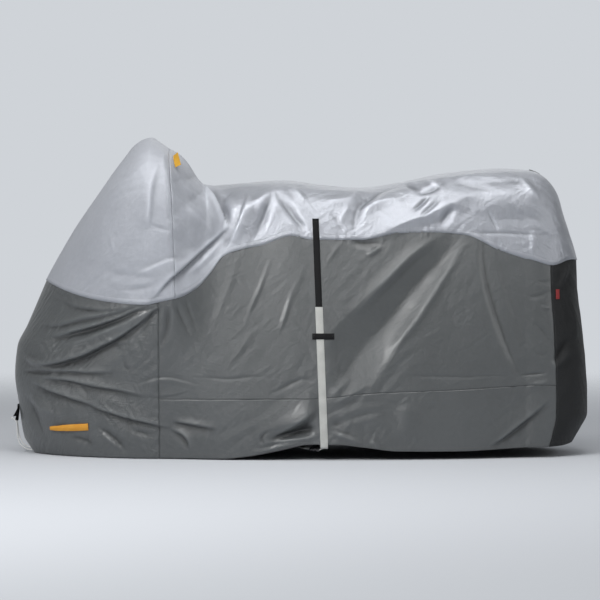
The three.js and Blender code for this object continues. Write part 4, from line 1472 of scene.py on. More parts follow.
@dataclass
class BellyBelt:
    """Belt over both sides, joined under the hem by a buckle and a cross belt."""

    form: CoverForm
    seat: ClothSeat
    top_z: float = 925.0
    join_z: float = 585.0
    width: float = 25.0
    foot_width: float = 29.0
    thick: float = 1.8
    lift: float = 0.5
    step: float = 12.0
    join_gap: float = 0.6
    rise: float = 8.0
    under: float = 6.0
    bend: float = 8.0
    bend_steps: int = 8
    lead: float = 16.0
    near_heading: float = 3 * math.pi / 4
    keeper_from: float = 44.0
    keeper_to: float = 128.0
    keeper_z: float = 473.0
    keeper_height: float = 23.0
    keeper_beside: float = 4.0
    keeper_ramp: float = 10.0
    keeper_stations: int = 22
    cross_near: tuple[float, float] = (0.0, -130.0)
    cross_far: tuple[float, float] = (50.0, 120.0)
    cross_leads: tuple[float, float] = (40.0, 60.0)
    cross_sag: float = 6.0
    cross_steps: int = 12
    near_roll: float = math.radians(32.0)
    roll_steps: int = 24

    # Stations that have a row of stitches across them
    UPPER_BARS = (0, 1, -2)
    KEEPER_BARS = (1, 2, -3, -2)

    def run(self, side: Side, top: float, low: float, width: float) -> list[Station]:
        """Stations down the side.

        Args:
            side: Side of the cover.
            top: Height of the first station.
            low: Height of the last one.
            width: Width of the belt.

        Returns:
            Stations that lie on the cloth.
        """
        count = math.ceil((top - low) / self.step)
        spots = [Spot(float(self.form.belt_x(z)), z) for z in np.linspace(top, low, count + 1)]
        return [lying(self.seat, side, spot, 0.0, width, self.thick, self.lift) for spot in spots]

    def lower(self, side: Side, heading: float, roll: float) -> tuple[Strap, Vector]:
        """Pale belt from the join to the hem, turned under it.

        Args:
            side: Side of the cover.
            heading: Direction of its end in plan.
            roll: Turn of its end about its length.

        Returns:
            The strap and the direction at its end.
        """
        hem = float(self.form.hem_z(self.form.belt_foot_x))
        stations = self.run(side, self.join_z, hem + self.rise, self.foot_width)
        end = stations[-1]
        inward = -side.value * math.pi / 2
        for n in range(self.bend_steps + 1):
            share = n / self.bend_steps
            cos = math.cos(share * math.pi / 2)
            sin = math.sin(share * math.pi / 2)
            skew = (heading - inward) * share / 2
            at = end.at.copy()
            at.z = hem - self.under - self.bend * sin
            at.y -= side.value * self.bend * (1 - cos)
            up = Vector((0, side.value * cos, -sin))
            across = Vector((math.cos(skew), math.sin(skew) * sin, -math.sin(skew) * cos))
            stations.append(Station(at, across, up, self.foot_width, self.thick))
        way = Vector((math.cos(heading), math.sin(heading), 0))
        tip = stations[-1]
        across = Vector((0, 0, side.value)).cross(way)
        at = tip.at + way * self.lead
        stations[-1] = tip.rolled(roll / 2)
        stations.append(Station(at, across, tip.up, self.foot_width, self.thick).rolled(roll))
        return Strap(f"belt_foot_{side.name.lower()}", stations), way

    def keeper(self, side: Side) -> Strap:
        """Short strap that holds the pale belt to the cloth.

        Args:
            side: Side of the cover.

        Returns:
            The strap.
        """
        middle = float(self.form.belt_x(self.keeper_z))
        flat = self.foot_width / 2 + self.keeper_beside + self.keeper_ramp
        stations = []
        for x in np.linspace(self.keeper_from, self.keeper_to, self.keeper_stations):
            over = min(max((flat - abs(x - middle)) / self.keeper_ramp, 0.0), 1.0)
            over = over * over * (3 - 2 * over)
            lift = self.lift + over * (self.thick + self.lift)
            spot = Spot(x, self.keeper_z)
            stations.append(lying(self.seat, side, spot, math.pi / 2, self.keeper_height, self.thick, lift))
        return Strap(f"belt_holder_{side.name.lower()}", stations)

    def cross(self, start: Vector, start_way: Vector, end: Vector, end_way: Vector) -> Strap:
        """Belt under the hem between the buckle and the far side.

        Args:
            start: Place of its end at the buckle.
            start_way: Direction from the buckle.
            end: Place of the far belt's foot.
            end_way: Direction from the far belt.

        Returns:
            The strap.
        """
        low = end.z - self.cross_sag
        leave = start + start_way * self.cross_leads[0]
        arrive = end + end_way * self.cross_leads[1]
        near, far = (Vector((*plan, low)) for plan in (self.cross_near, self.cross_far))
        route = smooth_route((start, leave, near, far, arrive, end), self.cross_steps)
        stations = []
        down = Vector((0, 0, -1))
        for n, at in enumerate(route):
            way = course(route, n)
            way.z = 0
            flat = Station(at, down.cross(way.normalized()), down, self.foot_width, self.thick)
            stations.append(flat.rolled(self.near_roll * max(1 - n / self.roll_steps, 0.0)))
        return Strap("belt_under", stations)

    def build(self, white: Material, black: Material, plastic: Material, bars: Stitching) -> None:
        """Makes the belts of both sides, the buckle and the cross belt.

        Args:
            white: Material of the pale webbing.
            black: Material of the dark webbing.
            plastic: Material of the buckle.
            bars: Stitching that takes up the rows across the straps.
        """
        feet = {}
        for side in Side:
            word = side.name.lower()
            near = side is Side.LEFT
            heading = self.near_heading if near else -math.pi / 2
            foot, way = self.lower(side, heading, self.near_roll if near else 0.0)
            feet[side] = (foot.stations[-1], way)
            attach(foot.build(white), "white_webbing", f"belt_lower_{word}")
            dark = self.run(side, self.top_z, self.join_z + self.join_gap, self.width)
            upper = Strap(f"belt_top_{word}", dark)
            attach(upper.build(black), "black_webbing", f"belt_upper_{word}")
            keeper = self.keeper(side)
            attach(keeper.build(black), "black_webbing", f"belt_keeper_{word}")
            upper.sew(bars, self.UPPER_BARS)
            keeper.sew(bars, self.KEEPER_BARS)
        near_end, near_way = feet[Side.LEFT]
        far_end, far_way = feet[Side.RIGHT]
        buckle = Buckle()
        cross_at = buckle.build(near_end, near_way, plastic)
        cross = self.cross(cross_at, near_way, far_end.at + far_way * buckle.gap, far_way)
        attach(cross.build(white), "white_webbing", "belt_cross")


def smooth_route(spots: Sequence[Vector], steps: int) -> list[Vector]:
    """Curve that passes through given places.

    Args:
        spots: Places in order.
        steps: Points between two places.

    Returns:
        Points along the curve, with both ends.
    """
    line = [2 * spots[0] - spots[1], *spots, 2 * spots[-1] - spots[-2]]
    made = []
    for n in range(1, len(line) - 2):
        before, here, there, after = line[n - 1:n + 3]
        for k in range(steps):
            t = k / steps
            bend = 2 * before - 5 * here + 4 * there - after
            turn = 3 * here - before - 3 * there + after
            made.append((2 * here + (there - before) * t + bend * t * t + turn * t**3) / 2)
    made.append(spots[-1].copy())
    return made


def course(route: Sequence[Vector], n: int) -> Vector:
    """Returns the way from the point before one of a route to the point after it."""
    return route[min(n + 1, len(route) - 1)] - route[max(n - 1, 0)]


@dataclass
class Buckle:
    """Side-release buckle: a socket with notched sides and the plug that clips into it."""

    width: float = 36.0
    socket_thick: float = 9.0
    plug_thick: float = 7.0
    gap: float = 0.6
    bevel: float = 1.1
    bevel_steps: int = 3
    bevel_profile: float = 0.6
    rim: float = 3.0
    groove: float = 0.8
    groove_slope: float = 0.6

    FLAT_FACING = 0.99
    FLAT_AREA = 100.0

    # Distance from the mouth and inset from the full width
    SOCKET = ((0, 3), (3, 0), (12, 0), (15, 5), (24, 5), (27, 0), (30, 1))
    PLUG = ((0, 4), (7, 4), (10, 1), (17, 1), (20, 4))

    def half(
        self, name: str, rows: Sequence[tuple[float, float]], thick: float,
        at: Vector, way: Vector, up: Vector, finish: Material,
    ) -> Piece:
        """Half of the buckle.

        Args:
            name: Name of the piece.
            rows: Distance from the mouth and inset from the full width.
            thick: Thickness.
            at: Middle of its mouth.
            way: Direction from the mouth to its end.
            up: Direction that its face looks in.
            finish: Material.

        Returns:
            The piece.
        """
        reach = self.width / 2
        edge = [(x, inset - reach) for x, inset in rows]
        ring = edge + [(x, -y) for x, y in reversed(edge)]
        shape = bmesh.new()
        face = shape.faces.new([shape.verts.new((x, y, -thick / 2)) for x, y in ring])
        raised = bmesh.ops.extrude_face_region(shape, geom=[face])
        tops = [item for item in raised["geom"] if isinstance(item, bmesh.types.BMVert)]
        bmesh.ops.translate(shape, verts=tops, vec=(0, 0, thick))
        bmesh.ops.recalc_face_normals(shape, faces=shape.faces)
        rounding = {"offset": self.bevel, "segments": self.bevel_steps, "profile": self.bevel_profile}
        bmesh.ops.bevel(shape, geom=list(shape.edges), affect="EDGES", **rounding)
        level = [face for face in shape.faces if abs(face.normal.z) > self.FLAT_FACING]
        flats = [face for face in level if face.calc_area() > self.FLAT_AREA]
        bmesh.ops.inset_individual(shape, faces=flats, thickness=self.rim, depth=0.0)
        bmesh.ops.inset_individual(shape, faces=flats, thickness=self.groove_slope, depth=-self.groove)
        across = up.cross(way)
        for vert in shape.verts:
            vert.co = (at + way * vert.co.x + across * vert.co.y + up * vert.co.z) * MM
        mesh = bpy.data.meshes.new(name)
        shape.to_mesh(mesh)
        shape.free()
        mesh.materials.append(finish)
        return linked(name, mesh)

    def build(self, end: Station, way: Vector, finish: Material) -> Vector:
        """Makes both halves at the end of the near belt.

        Args:
            end: Last station of that belt.
            way: Direction of its end.
            finish: Material.

        Returns:
            Place where the cross belt starts.
        """
        middle = end.up * end.thick / 2
        socket_at = end.at + way * self.gap + middle
        plug_at = socket_at + way * (self.SOCKET[-1][0] + self.gap)
        socket = self.half("clip_socket", self.SOCKET, self.socket_thick, socket_at, way, -end.up, finish)
        attach(socket, "buckle", "buckle_socket")
        plug = self.half("clip_plug", self.PLUG, self.plug_thick, plug_at, way, -end.up, finish)
        attach(plug, "buckle", "buckle_plug")
        return plug_at + way * (self.PLUG[-1][0] + self.gap) - middle


@dataclass
class DrawCord:
    """Two strands of the front draw cord, from the hem up to the tab."""

    radius: float = 2.4
    apart: float = 6.0
    route_steps: int = 3
    round_steps: int = 4
    near: tuple[Spot, ...] = side_view(
        (-1066.4, 7), (-1094, 14), (-1114, 30), (-1124, 54), (-1127, 82), (-1128, 106),
        (-1131.2, 121.5), (-1141, 131), (-1152, 137),
    )
    far: tuple[Spot, ...] = side_view(
        (-1073.4, 17), (-1092, 23), (-1108, 36), (-1119, 60), (-1124, 92), (-1128.5, 123.4),
    )

    def strand(self, name: str, spots: Sequence[Spot], y: float, finish: Material) -> Piece:
        """One strand as a round curve.

        Args:
            name: Name of the piece.
            spots: Route in side view, from the hem.
            y: Distance from the centre line.
            finish: Material.

        Returns:
            The piece.
        """
        route = smooth_route([Vector((spot.x, y, spot.z)) * MM for spot in spots], self.route_steps)
        line = bpy.data.curves.new(name, "CURVE")
        line.dimensions = "3D"
        line.bevel_depth = self.radius * MM
        line.bevel_resolution = self.round_steps
        line.use_fill_caps = True
        spline = line.splines.new("POLY")
        spline.points.add(len(route) - 1)
        for point, spot in zip(spline.points, route):
            point.co = (*spot, 1.0)
        line.materials.append(finish)
        piece = linked(name, line)
        length = sum((b - a).length for a, b in zip(route, route[1:]))
        return piece

    def build(self, finish: Material) -> None:
        """Makes both strands.

        Args:
            finish: Material.
        """
        near = self.strand("draw_cord_near", self.near, -self.apart, finish)
        attach(near, "white_cord", "cord_near")
        far = self.strand("draw_cord_far", self.far, self.apart, finish)
        attach(far, "white_cord", "cord_far")


@dataclass(frozen=True)
class TabCut:
    """Tab on the near side: sewn and free end, width at each, thickness, and gap under the free end."""

    name: str
    first: Spot
    last: Spot
    width: float
    tip: float
    thick: float
    stand_off: float


@dataclass
class SewnTabs:
    """Tabs sewn on the cover: pull tab, hood tab, seam tab, tail tab and the folded tab at the nose."""

    seat: ClothSeat
    pull: TabCut = TabCut("pull_strap", Spot(-823, 119), Spot(-971, 109), 27.0, 14.0, 3.6, 11.0)
    hood: TabCut = TabCut("hood_tape", Spot(-492, 1166), Spot(-481, 1120), 26.0, 26.0, 1.2, 3.0)
    seam: TabCut = TabCut("seam_tape", Spot(997, 651), Spot(996, 613), 17.0, 17.0, 1.2, 2.0)
    hood_turn: float = math.radians(50.0)
    webbing: float = 1.8
    lift: float = 0.5
    steps: int = 14
    taper: float = 3.0
    tape_rib: float = 2.4
    tail_from: float = 906.0
    tail_to: float = 948.0
    tail_width: float = 25.0
    tail_turn: float = math.radians(20.0)
    tail_middle: float = 0.5
    tail_probe: float = 2.0
    nose_x: float = -1120.0
    nose_z: float = 190.0
    nose_width: float = 20.0
    nose_thick: float = 2.4
    nose_fork: float = 20.0
    nose_twist: float = 0.6
    nose_steps: int = 6
    outer_leg: Spot = Spot(-1136.0, 141.0)
    inner_leg: Spot = Spot(-1128.5, 124.0)

    # Stations that have a row of stitches across them
    TAIL_BARS = (1, -2)

    def sewn(self, cut: TabCut) -> Strap:
        """Tab that lies on the near side and stands off it at its free end.

        Args:
            cut: Sizes of the tab.

        Returns:
            The strap.
        """
        first, last = cut.first, cut.last
        turn = math.atan2(last.z - first.z, last.x - first.x) + math.pi / 2
        stations = []
        for n in range(self.steps + 1):
            share = n / self.steps
            spot = first.toward(last, share)
            wide = cut.width + (cut.tip - cut.width) * share**self.taper
            lift = self.lift + cut.stand_off * math.sin(share * math.pi / 2)
            stations.append(lying(self.seat, Side.LEFT, spot, turn, wide, cut.thick, lift))
        return Strap(cut.name, stations, rib_pitch=self.tape_rib)

    def flag(self, tab: Strap, turn: float) -> Strap:
        """Tab that is sewn down along its front edge and stands off the cloth at the other.

        Args:
            tab: Tab that lies on the cloth.
            turn: Angle that it is turned by, about its front edge.

        Returns:
            The turned tab.
        """
        stations = []
        for station in tab.stations:
            outer = station.across if station.across.x > 0 else -station.across
            edge = station.at - outer * station.width / 2
            across = outer * math.cos(turn) + station.up * math.sin(turn)
            up = station.up * math.cos(turn) - outer * math.sin(turn)
            at = edge + across * station.width / 2
            stations.append(Station(at, across, up, station.width, station.thick))
        return Strap(tab.name, stations, rib_pitch=tab.rib_pitch)

    def tail(self) -> Strap:
        """Tab on top of the tail, tilted about its length.

        Returns:
            The strap.
        """
        width = self.tail_width
        across = Vector((0, math.cos(self.tail_turn), math.sin(self.tail_turn)))
        stations = []
        for x in np.linspace(self.tail_from, self.tail_to, self.steps + 1):
            places = (-width / 2, -width / 4, self.tail_middle, width / 4, width / 2)
            top = max(self.seat.above(x, y).z for y in places)
            ahead = self.seat.above(x + self.tail_probe, self.tail_middle).z
            climb = ahead - self.seat.above(x - self.tail_probe, self.tail_middle).z
            at = Vector((x, 0, top + self.lift + across.z * width / 2))
            up = Vector((2 * self.tail_probe, 0, climb)).cross(across).normalized()
            stations.append(Station(at, across, up, width, self.webbing))
        return Strap("tail_loop", stations)

    def leg(self, name: str, foot: Spot, shift: float) -> Strap:
        """Leg of the folded tab, from its sewn end down to its foot.

        Args:
            name: Name of the piece.
            foot: Lower end in side view.
            shift: Distance that its sewn end stands in front of the other leg's.

        Returns:
            The strap.
        """
        top = Vector((self.nose_x - self.nose_thick / 2 - shift, 0, self.nose_z))
        fork = top - Vector((0, 0, self.nose_fork))
        end = Vector((foot.x, 0, foot.z))
        route = smooth_route((top, fork, end), self.nose_steps)
        stations = []
        for n, at in enumerate(route):
            way = course(route, n).normalized()
            twist = self.nose_twist * n / (len(route) - 1)
            across = Vector((math.sin(twist), math.cos(twist), 0))
            up = across.cross(way).normalized()
            stations.append(Station(at, across, up, self.nose_width, self.webbing))
        return Strap(name, stations)

    def build(self, webbings: dict[str, Material], bars: Stitching) -> None:
        """Makes all tabs.

        Args:
            webbings: Materials by the name of their colour.
            bars: Stitching that takes up the rows across the tail tab.
        """
        attach(self.sewn(self.pull).build(webbings["orange"]), "orange_webbing", "pull_tab")
        hood = self.flag(self.sewn(self.hood), self.hood_turn)
        attach(hood.build(webbings["yellow"]), "yellow_tab", "hood_tab")
        attach(self.sewn(self.seam).build(webbings["red"]), "red_tab", "seam_tab")
        loop = self.tail()
        attach(loop.build(webbings["black"]), "black_webbing", "tail_tab")
        loop.sew(bars, self.TAIL_BARS)
        outer = self.leg("nose_tab_outer", self.outer_leg, self.webbing)
        attach(outer.build(webbings["black"]), "black_webbing", "cord_tab")
        inner = self.leg("nose_tab_inner", self.inner_leg, 0.0)
        attach(inner.build(webbings["black"]), "black_webbing")


class Wire:
    """Output socket of a shader node that takes part in sums."""

    def __init__(self, board: "NodeBoard", socket: bpy.types.NodeSocket) -> None:
        """Keeps the socket and the board that it belongs to."""
        self.board = board
        self.socket = socket

    def also(self, output: str | int) -> "Wire":
        """Returns another output of the same node."""
        return Wire(self.board, self.socket.node.outputs[output])

    def sum(self, operation: str, first: "Wire | float", second: "Wire | float") -> "Wire":
        """Returns a Math node on two values."""
        return self.board.node("ShaderNodeMath", {"operation": operation}, {0: first, 1: second})

    def __add__(self, other: "Wire | float") -> "Wire":
        """Returns self + other."""
        return self.sum("ADD", self, other)

    __radd__ = __add__

    def __sub__(self, other: "Wire | float") -> "Wire":
        """Returns self - other."""
        return self.sum("SUBTRACT", self, other)

    def __rsub__(self, other: "Wire | float") -> "Wire":
        """Returns other - self."""
        return self.sum("SUBTRACT", other, self)

    def __mul__(self, other: "Wire | float") -> "Wire":
        """Returns self * other."""
        return self.sum("MULTIPLY", self, other)

    __rmul__ = __mul__


class NodeBoard:
    """Shader nodes of one material, or of the sky."""

    # Scale at which a wave texture repeats once a metre
    WAVE_SCALE = math.pi / 10

    # Share by which creases are drawn out along their length, and how unevenly they run
    FACET_AHEAD = 0.4
    FACET_UNEVEN = {"Distortion": 9.0, "Detail": 1.5, "Detail Scale": 1.6}

    # Sockets of a Mix node for colours: share, first and second colour, and result
    MIX_INPUTS = (0, 6, 7)
    MIX_RESULT = 2

    def __init__(self, owner: Material | bpy.types.World) -> None:
        """Takes over the owner's nodes, with none in place.

        Args:
            owner: Material or sky.
        """
        owner.use_nodes = True
        self.owner = owner
        self.tree = owner.node_tree
        self.tree.nodes.clear()

    @classmethod
    def material(cls, name: str) -> "NodeBoard":
        """Returns the board of a new material."""
        return cls(bpy.data.materials.new(name))

    def node(
        self, kind: str, settings: dict[str, Any], inputs: dict[str | int, Any], output: str | int = 0
    ) -> Wire:
        """Adds any node.

        Args:
            kind: Type of the node.
            settings: Properties, set before the sockets.
            inputs: Values or wires of its sockets.
            output: Output that is returned.

        Returns:
            The chosen output.
        """
        made = self.tree.nodes.new(kind)
        for key, value in settings.items():
            setattr(made, key, value)
        for key, value in inputs.items():
            if isinstance(value, Wire):
                self.tree.links.new(value.socket, made.inputs[key])
            else:
                made.inputs[key].default_value = value
        return Wire(self, made.outputs[output])

    def place(self) -> Wire:
        """Returns the place on the object, in metres."""
        return self.node("ShaderNodeTexCoord", {}, {}, "Object")

    def joined(self, x: Wire, y: Wire) -> Wire:
        """Returns a flat vector of two values."""
        return self.node("ShaderNodeCombineXYZ", {}, {"X": x, "Y": y})

    def mark(self, name: str) -> Wire:
        """Returns a value that the mesh has at each point."""
        return self.node("ShaderNodeAttribute", {"attribute_name": name}, {}, "Fac")

    def cloud(self, place: Wire, scale: float, detail: float = 3.0, roughness: float = 0.5) -> Wire:
        """Returns soft noise from 0 to 1."""
        inputs = {"Vector": place, "Scale": scale, "Detail": detail, "Roughness": roughness}
        return self.node("ShaderNodeTexNoise", {}, inputs, "Fac")

    def ribs(self, place: Wire, pitch: float, axis: str) -> Wire:
        """Returns even waves of a pitch in metres along one axis."""
        inputs = {"Vector": place, "Scale": self.WAVE_SCALE / pitch}
        return self.node("ShaderNodeTexWave", {"bands_direction": axis}, inputs, "Fac")

    def facets(self, along: Wire, upright: Wire, turn: float, pitch: float) -> Wire:
        """Uneven straight creases with flat facets between them.

        Args:
            along: Position along the cover, in metres.
            upright: Position up and across it.
            turn: Direction across the creases.
            pitch: Mean distance between two creases.

        Returns:
            Height from 0 to 1.
        """
        across = along * math.cos(turn) + upright * math.sin(turn)
        ahead = (upright * math.cos(turn) - along * math.sin(turn)) * self.FACET_AHEAD
        inputs = {"Vector": self.joined(across, ahead), "Scale": self.WAVE_SCALE / pitch}
        return self.node("ShaderNodeTexWave", {"wave_profile": "TRI"}, inputs | self.FACET_UNEVEN, "Fac")

    def step(self, value: Wire, low: float, high: float) -> Wire:
        """Returns a smooth step of a value between two limits."""
        inputs = {"Value": value, "From Min": low, "From Max": high}
        return self.node("ShaderNodeMapRange", {"interpolation_type": "SMOOTHSTEP"}, inputs, "Result")

    def mix(self, share: Wire, first: Wire | Colour, second: Wire | Colour) -> Wire:
        """Mixes two colours.

        Args:
            share: Share of the second colour.
            first: First colour.
            second: Second colour.

        Returns:
            The mixed colour.
        """
        pair = (item if isinstance(item, Wire) else (*item, 1.0) for item in (first, second))
        inputs = dict(zip(self.MIX_INPUTS, (share, *pair)))
        return self.node("ShaderNodeMix", {"data_type": "RGBA"}, inputs, self.MIX_RESULT)

    def bump(self, height: Wire, strength: float, distance: float) -> Wire:
        """Returns the normal of a bumped surface."""
        inputs = {"Height": height, "Strength": strength, "Distance": distance}
        return self.node("ShaderNodeBump", {}, inputs, "Normal")

    def surface(self, inputs: dict[str | int, Any]) -> Material:
        """Returns the material, finished with a principled shader."""
        return self.close(self.node("ShaderNodeBsdfPrincipled", {}, inputs, "BSDF"))

    def close(self, shader: Wire, kind: str = "ShaderNodeOutputMaterial") -> Material | bpy.types.World:
        """Ends the board with a shader as its surface.

        Args:
            shader: The shader.
            kind: Type of the output node.

        Returns:
            The owner of the board.
        """
        end = self.tree.nodes.new(kind)
        self.tree.links.new(shader.socket, end.inputs["Surface"])
        return self.owner


# Display white, and the end and slope of the toe, shift and power of the sRGB curve
WHITE = 255
TOE_END = 0.04045
TOE_SLOPE = 12.92
SHIFT = 0.055
POWER = 2.4


def linear(red: int, green: int, blue: int) -> Colour:
    """Linear colour of display values.

    Args:
        red: Red from 0 to 255.
        green: Green.
        blue: Blue.

    Returns:
        Shares of linear light.
    """
    shares = [value / WHITE for value in (red, green, blue)]
    bright = [((share + SHIFT) / (1 + SHIFT)) ** POWER for share in shares]
    return tuple(dim / TOE_SLOPE if dim <= TOE_END else light for dim, light in zip(shares, bright))


@dataclass(frozen=True)
class ClothFinish:
    """Coated woven cloth: colour range, gloss, weave and fine creases, with painted shade in fold hollows
    and a painted highlight on crests.
    """

    name: str
    light: Colour
    dark: Colour
    roughness: float
    metallic: float = 0.0
    coat: float = 0.0
    crease: float = 0.3
    crease_scale: float = 30.0
    facet: float = 0.3
    facet_pitch: float = 0.045
    pucker: float = 0.2
    stitch: float = 0.0
    specular: float = 0.5
    # Shares of the dark colour painted as shade in hollows and of the light colour painted as a highlight
    # on crests
    hollow_shade: float = 0.7
    crest: float = 1.15
    weave_pitch: float = 0.0016
    dull_until: float | None = None

    DULL_ROUGHNESS = 0.48
    DULL_METALLIC = 0.25
    DULL_FACET = 0.14
    DULL_LEAN = 0.5
    DULL_EASE = 0.03
    COAT_ROUGHNESS = 0.24
    BUMP_DEPTH = 0.004
    WEAVE_HEIGHT = 0.06
    PATCH = 0.35
    NOISE_DETAIL = 2.0
    PATCH_RANGE = (0.44, 0.6)
    PUCKER_SCALE = 75.0
    PUCKER_REACH = 0.06
    PUCKER_STRETCH = 0.2
    GROOVE = 0.02
    GROOVE_HALF = 0.003
    BROAD_SHARE = 0.75
    TONE_RANGE = (0.3, 0.7)
    ROUGH_FLECK = 0.12
    ROUGH_BROAD = 0.06

    # Scale, detail and roughness of the broad noise, scale and detail of the fine one
    BROAD_NOISE = (2.4, 4.0, 0.55)
    FLECK_NOISE = (70.0, 2.0)

    # Detail and roughness of the crease noise
    CREASE_NOISE = (4.0, 0.6)

    # Layers of straight creases: direction in degrees, share of the pitch and share of the height
    LAYERS = ((28.0, 1.0, 1.0), (-50.0, 0.8, 0.8), (75.0, 0.4, 0.4), (-15.0, 0.36, 0.36))

    def gloss(self, board: NodeBoard, axes: Wire) -> Wire | float:
        """How far a place has the full gloss.

        Args:
            board: Board of the material.
            axes: X of the place, with Y and Z on the same node.

        Returns:
            Share from 0 in the dull part of the cloth to 1.
        """
        if self.dull_until is None:
            return 1.0
        low, high = self.dull_until - self.DULL_EASE, self.dull_until + self.DULL_EASE
        return board.step(axes + self.DULL_LEAN * axes.also("Z"), low, high)

    def relief(self, board: NodeBoard, place: Wire, axes: Wire, facet: Wire | float) -> Wire:
        """Weave, fine creases, puckers along the edges and the groove of a line of stitching.

        Args:
            board: Board of the material.
            place: Place on the object.
            axes: X of the place, with Y and Z on the same node.
            facet: Height of the straight creases.

        Returns:
            Height as a share of the bump's depth.
        """
        upright = axes.also("Y") + axes.also("Z")
        thread = board.joined(axes, upright)
        weave = board.ribs(thread, self.weave_pitch, "X") * board.ribs(thread, self.weave_pitch, "Y")
        crease = board.cloud(place, self.crease_scale, *self.CREASE_NOISE)
        sharp = board.node("ShaderNodeMath", {"operation": "ABSOLUTE"}, {0: crease - 0.5})
        facets = 0.0
        for turn, size, share in self.LAYERS:
            pitch = size * self.facet_pitch
            patch = board.step(board.cloud(place, self.PATCH / pitch, self.NOISE_DETAIL), *self.PATCH_RANGE)
            facets = board.facets(axes, upright, math.radians(turn), pitch) * patch * share + facets
        gap = board.mark(EDGE_GAP)
        beside = board.joined(board.mark(EDGE_RUN), gap * self.PUCKER_STRETCH)
        pucker = board.cloud(beside, self.PUCKER_SCALE, self.NOISE_DETAIL)
        pucker = pucker * (1.0 - board.step(gap, 0.0, self.PUCKER_REACH))
        groove = board.step(gap, self.GROOVE - self.GROOVE_HALF, self.GROOVE)
        groove = groove * (1.0 - board.step(gap, self.GROOVE, self.GROOVE + self.GROOVE_HALF))
        height = weave * self.WEAVE_HEIGHT - sharp * self.crease + facets * facet
        return height + pucker * self.pucker - groove * self.stitch

    def paint(self) -> Material:
        """Makes the material.

        Returns:
            The material.
        """
        board = NodeBoard.material(self.name)
        place = board.place()
        axes = board.node("ShaderNodeSeparateXYZ", {}, {"Vector": place}, "X")
        broad = board.cloud(place, *self.BROAD_NOISE)
        fleck = board.cloud(place, *self.FLECK_NOISE)
        tone = board.step(self.BROAD_SHARE * broad + (1 - self.BROAD_SHARE) * fleck, *self.TONE_RANGE)
        gloss = self.gloss(board, axes)
        facet = self.DULL_FACET + gloss * (self.facet - self.DULL_FACET)
        roughness = self.DULL_ROUGHNESS + gloss * (self.roughness - self.DULL_ROUGHNESS)
        spread = self.ROUGH_FLECK * (fleck - 0.5) + self.ROUGH_BROAD * (broad - 0.5)
        # Painted shading read from the mesh: darker shade in hollows and seam lines, lighter highlight on
        # crests
        painted_shading = board.mark(PAINTED_SHADING)
        hollow_shade = tuple(self.hollow_shade * share for share in self.dark)
        crest = tuple(min(self.crest * share, 1.0) for share in self.light)
        cloth = board.mix(tone, self.dark, self.light)
        cloth = board.mix(board.step(painted_shading, 0.0, 0.5), hollow_shade, cloth)
        return board.surface({
            "Base Color": board.mix(board.step(painted_shading, 0.5, 1.0), cloth, crest),
            "Roughness": roughness + spread,
            "Metallic": self.DULL_METALLIC + gloss * (self.metallic - self.DULL_METALLIC),
            "Coat Weight": gloss * self.coat,
            "Coat Roughness": self.COAT_ROUGHNESS,
            "Specular IOR Level": self.specular,
            "Normal": board.bump(self.relief(board, place, axes, facet), 1.0, self.BUMP_DEPTH),
        })


@dataclass(frozen=True)
class WebbingFinish:
    """Woven webbing, tape or braid in one dyed colour."""

    name: str
    light: Colour
    dark: Colour
    roughness: float
    pitch: float
    specular: float = 0.25

    # Scale and detail of the noise, and strength and depth of the bump
    BROAD_NOISE = (25.0, 3.0)
    BUMP = (0.6, 0.0004)
    HALF = 0.5
    TONE_RANGE = (0.25, 0.75)
    ROUGH_BROAD = 0.1

    def paint(self) -> Material:
        """Makes the material.

        Returns:
            The material.
        """
        board = NodeBoard.material(self.name)
        place = board.place()
        broad = board.cloud(place, *self.BROAD_NOISE)
        weft = board.ribs(place, self.pitch, "X")
        yarn = weft * self.HALF + board.ribs(place, self.pitch, "Z") * self.HALF
        tone = board.step(self.HALF * broad + self.HALF * yarn, *self.TONE_RANGE)
        return board.surface({
            "Base Color": board.mix(tone, self.dark, self.light),
            "Roughness": self.roughness + self.ROUGH_BROAD * (broad - 0.5),
            "Specular IOR Level": self.specular,
            "Normal": board.bump(yarn, *self.BUMP),
        })


@dataclass(frozen=True)
class MouldedFinish:
    """Moulded plastic with a fine grain and rubbed patches."""

    name: str
    light: Colour
    dark: Colour
    roughness: float

    # Scale and detail of each noise, and strength and depth of the bump
    GRAIN_NOISE = (900.0, 2.0)
    RUB_NOISE = (60.0, 4.0)
    BUMP = (0.4, 0.0003)
    RUB_RANGE = (0.4, 0.7)
    ROUGH_RUB = 0.15

    def paint(self) -> Material:
        """Makes the material.

        Returns:
            The material.
        """
        board = NodeBoard.material(self.name)
        place = board.place()
        grain = board.cloud(place, *self.GRAIN_NOISE)
        rub = board.cloud(place, *self.RUB_NOISE)
        return board.surface({
            "Base Color": board.mix(board.step(rub, *self.RUB_RANGE), self.dark, self.light),
            "Roughness": self.roughness + self.ROUGH_RUB * (rub - 0.5),
            "Normal": board.bump(grain, *self.BUMP),
        })


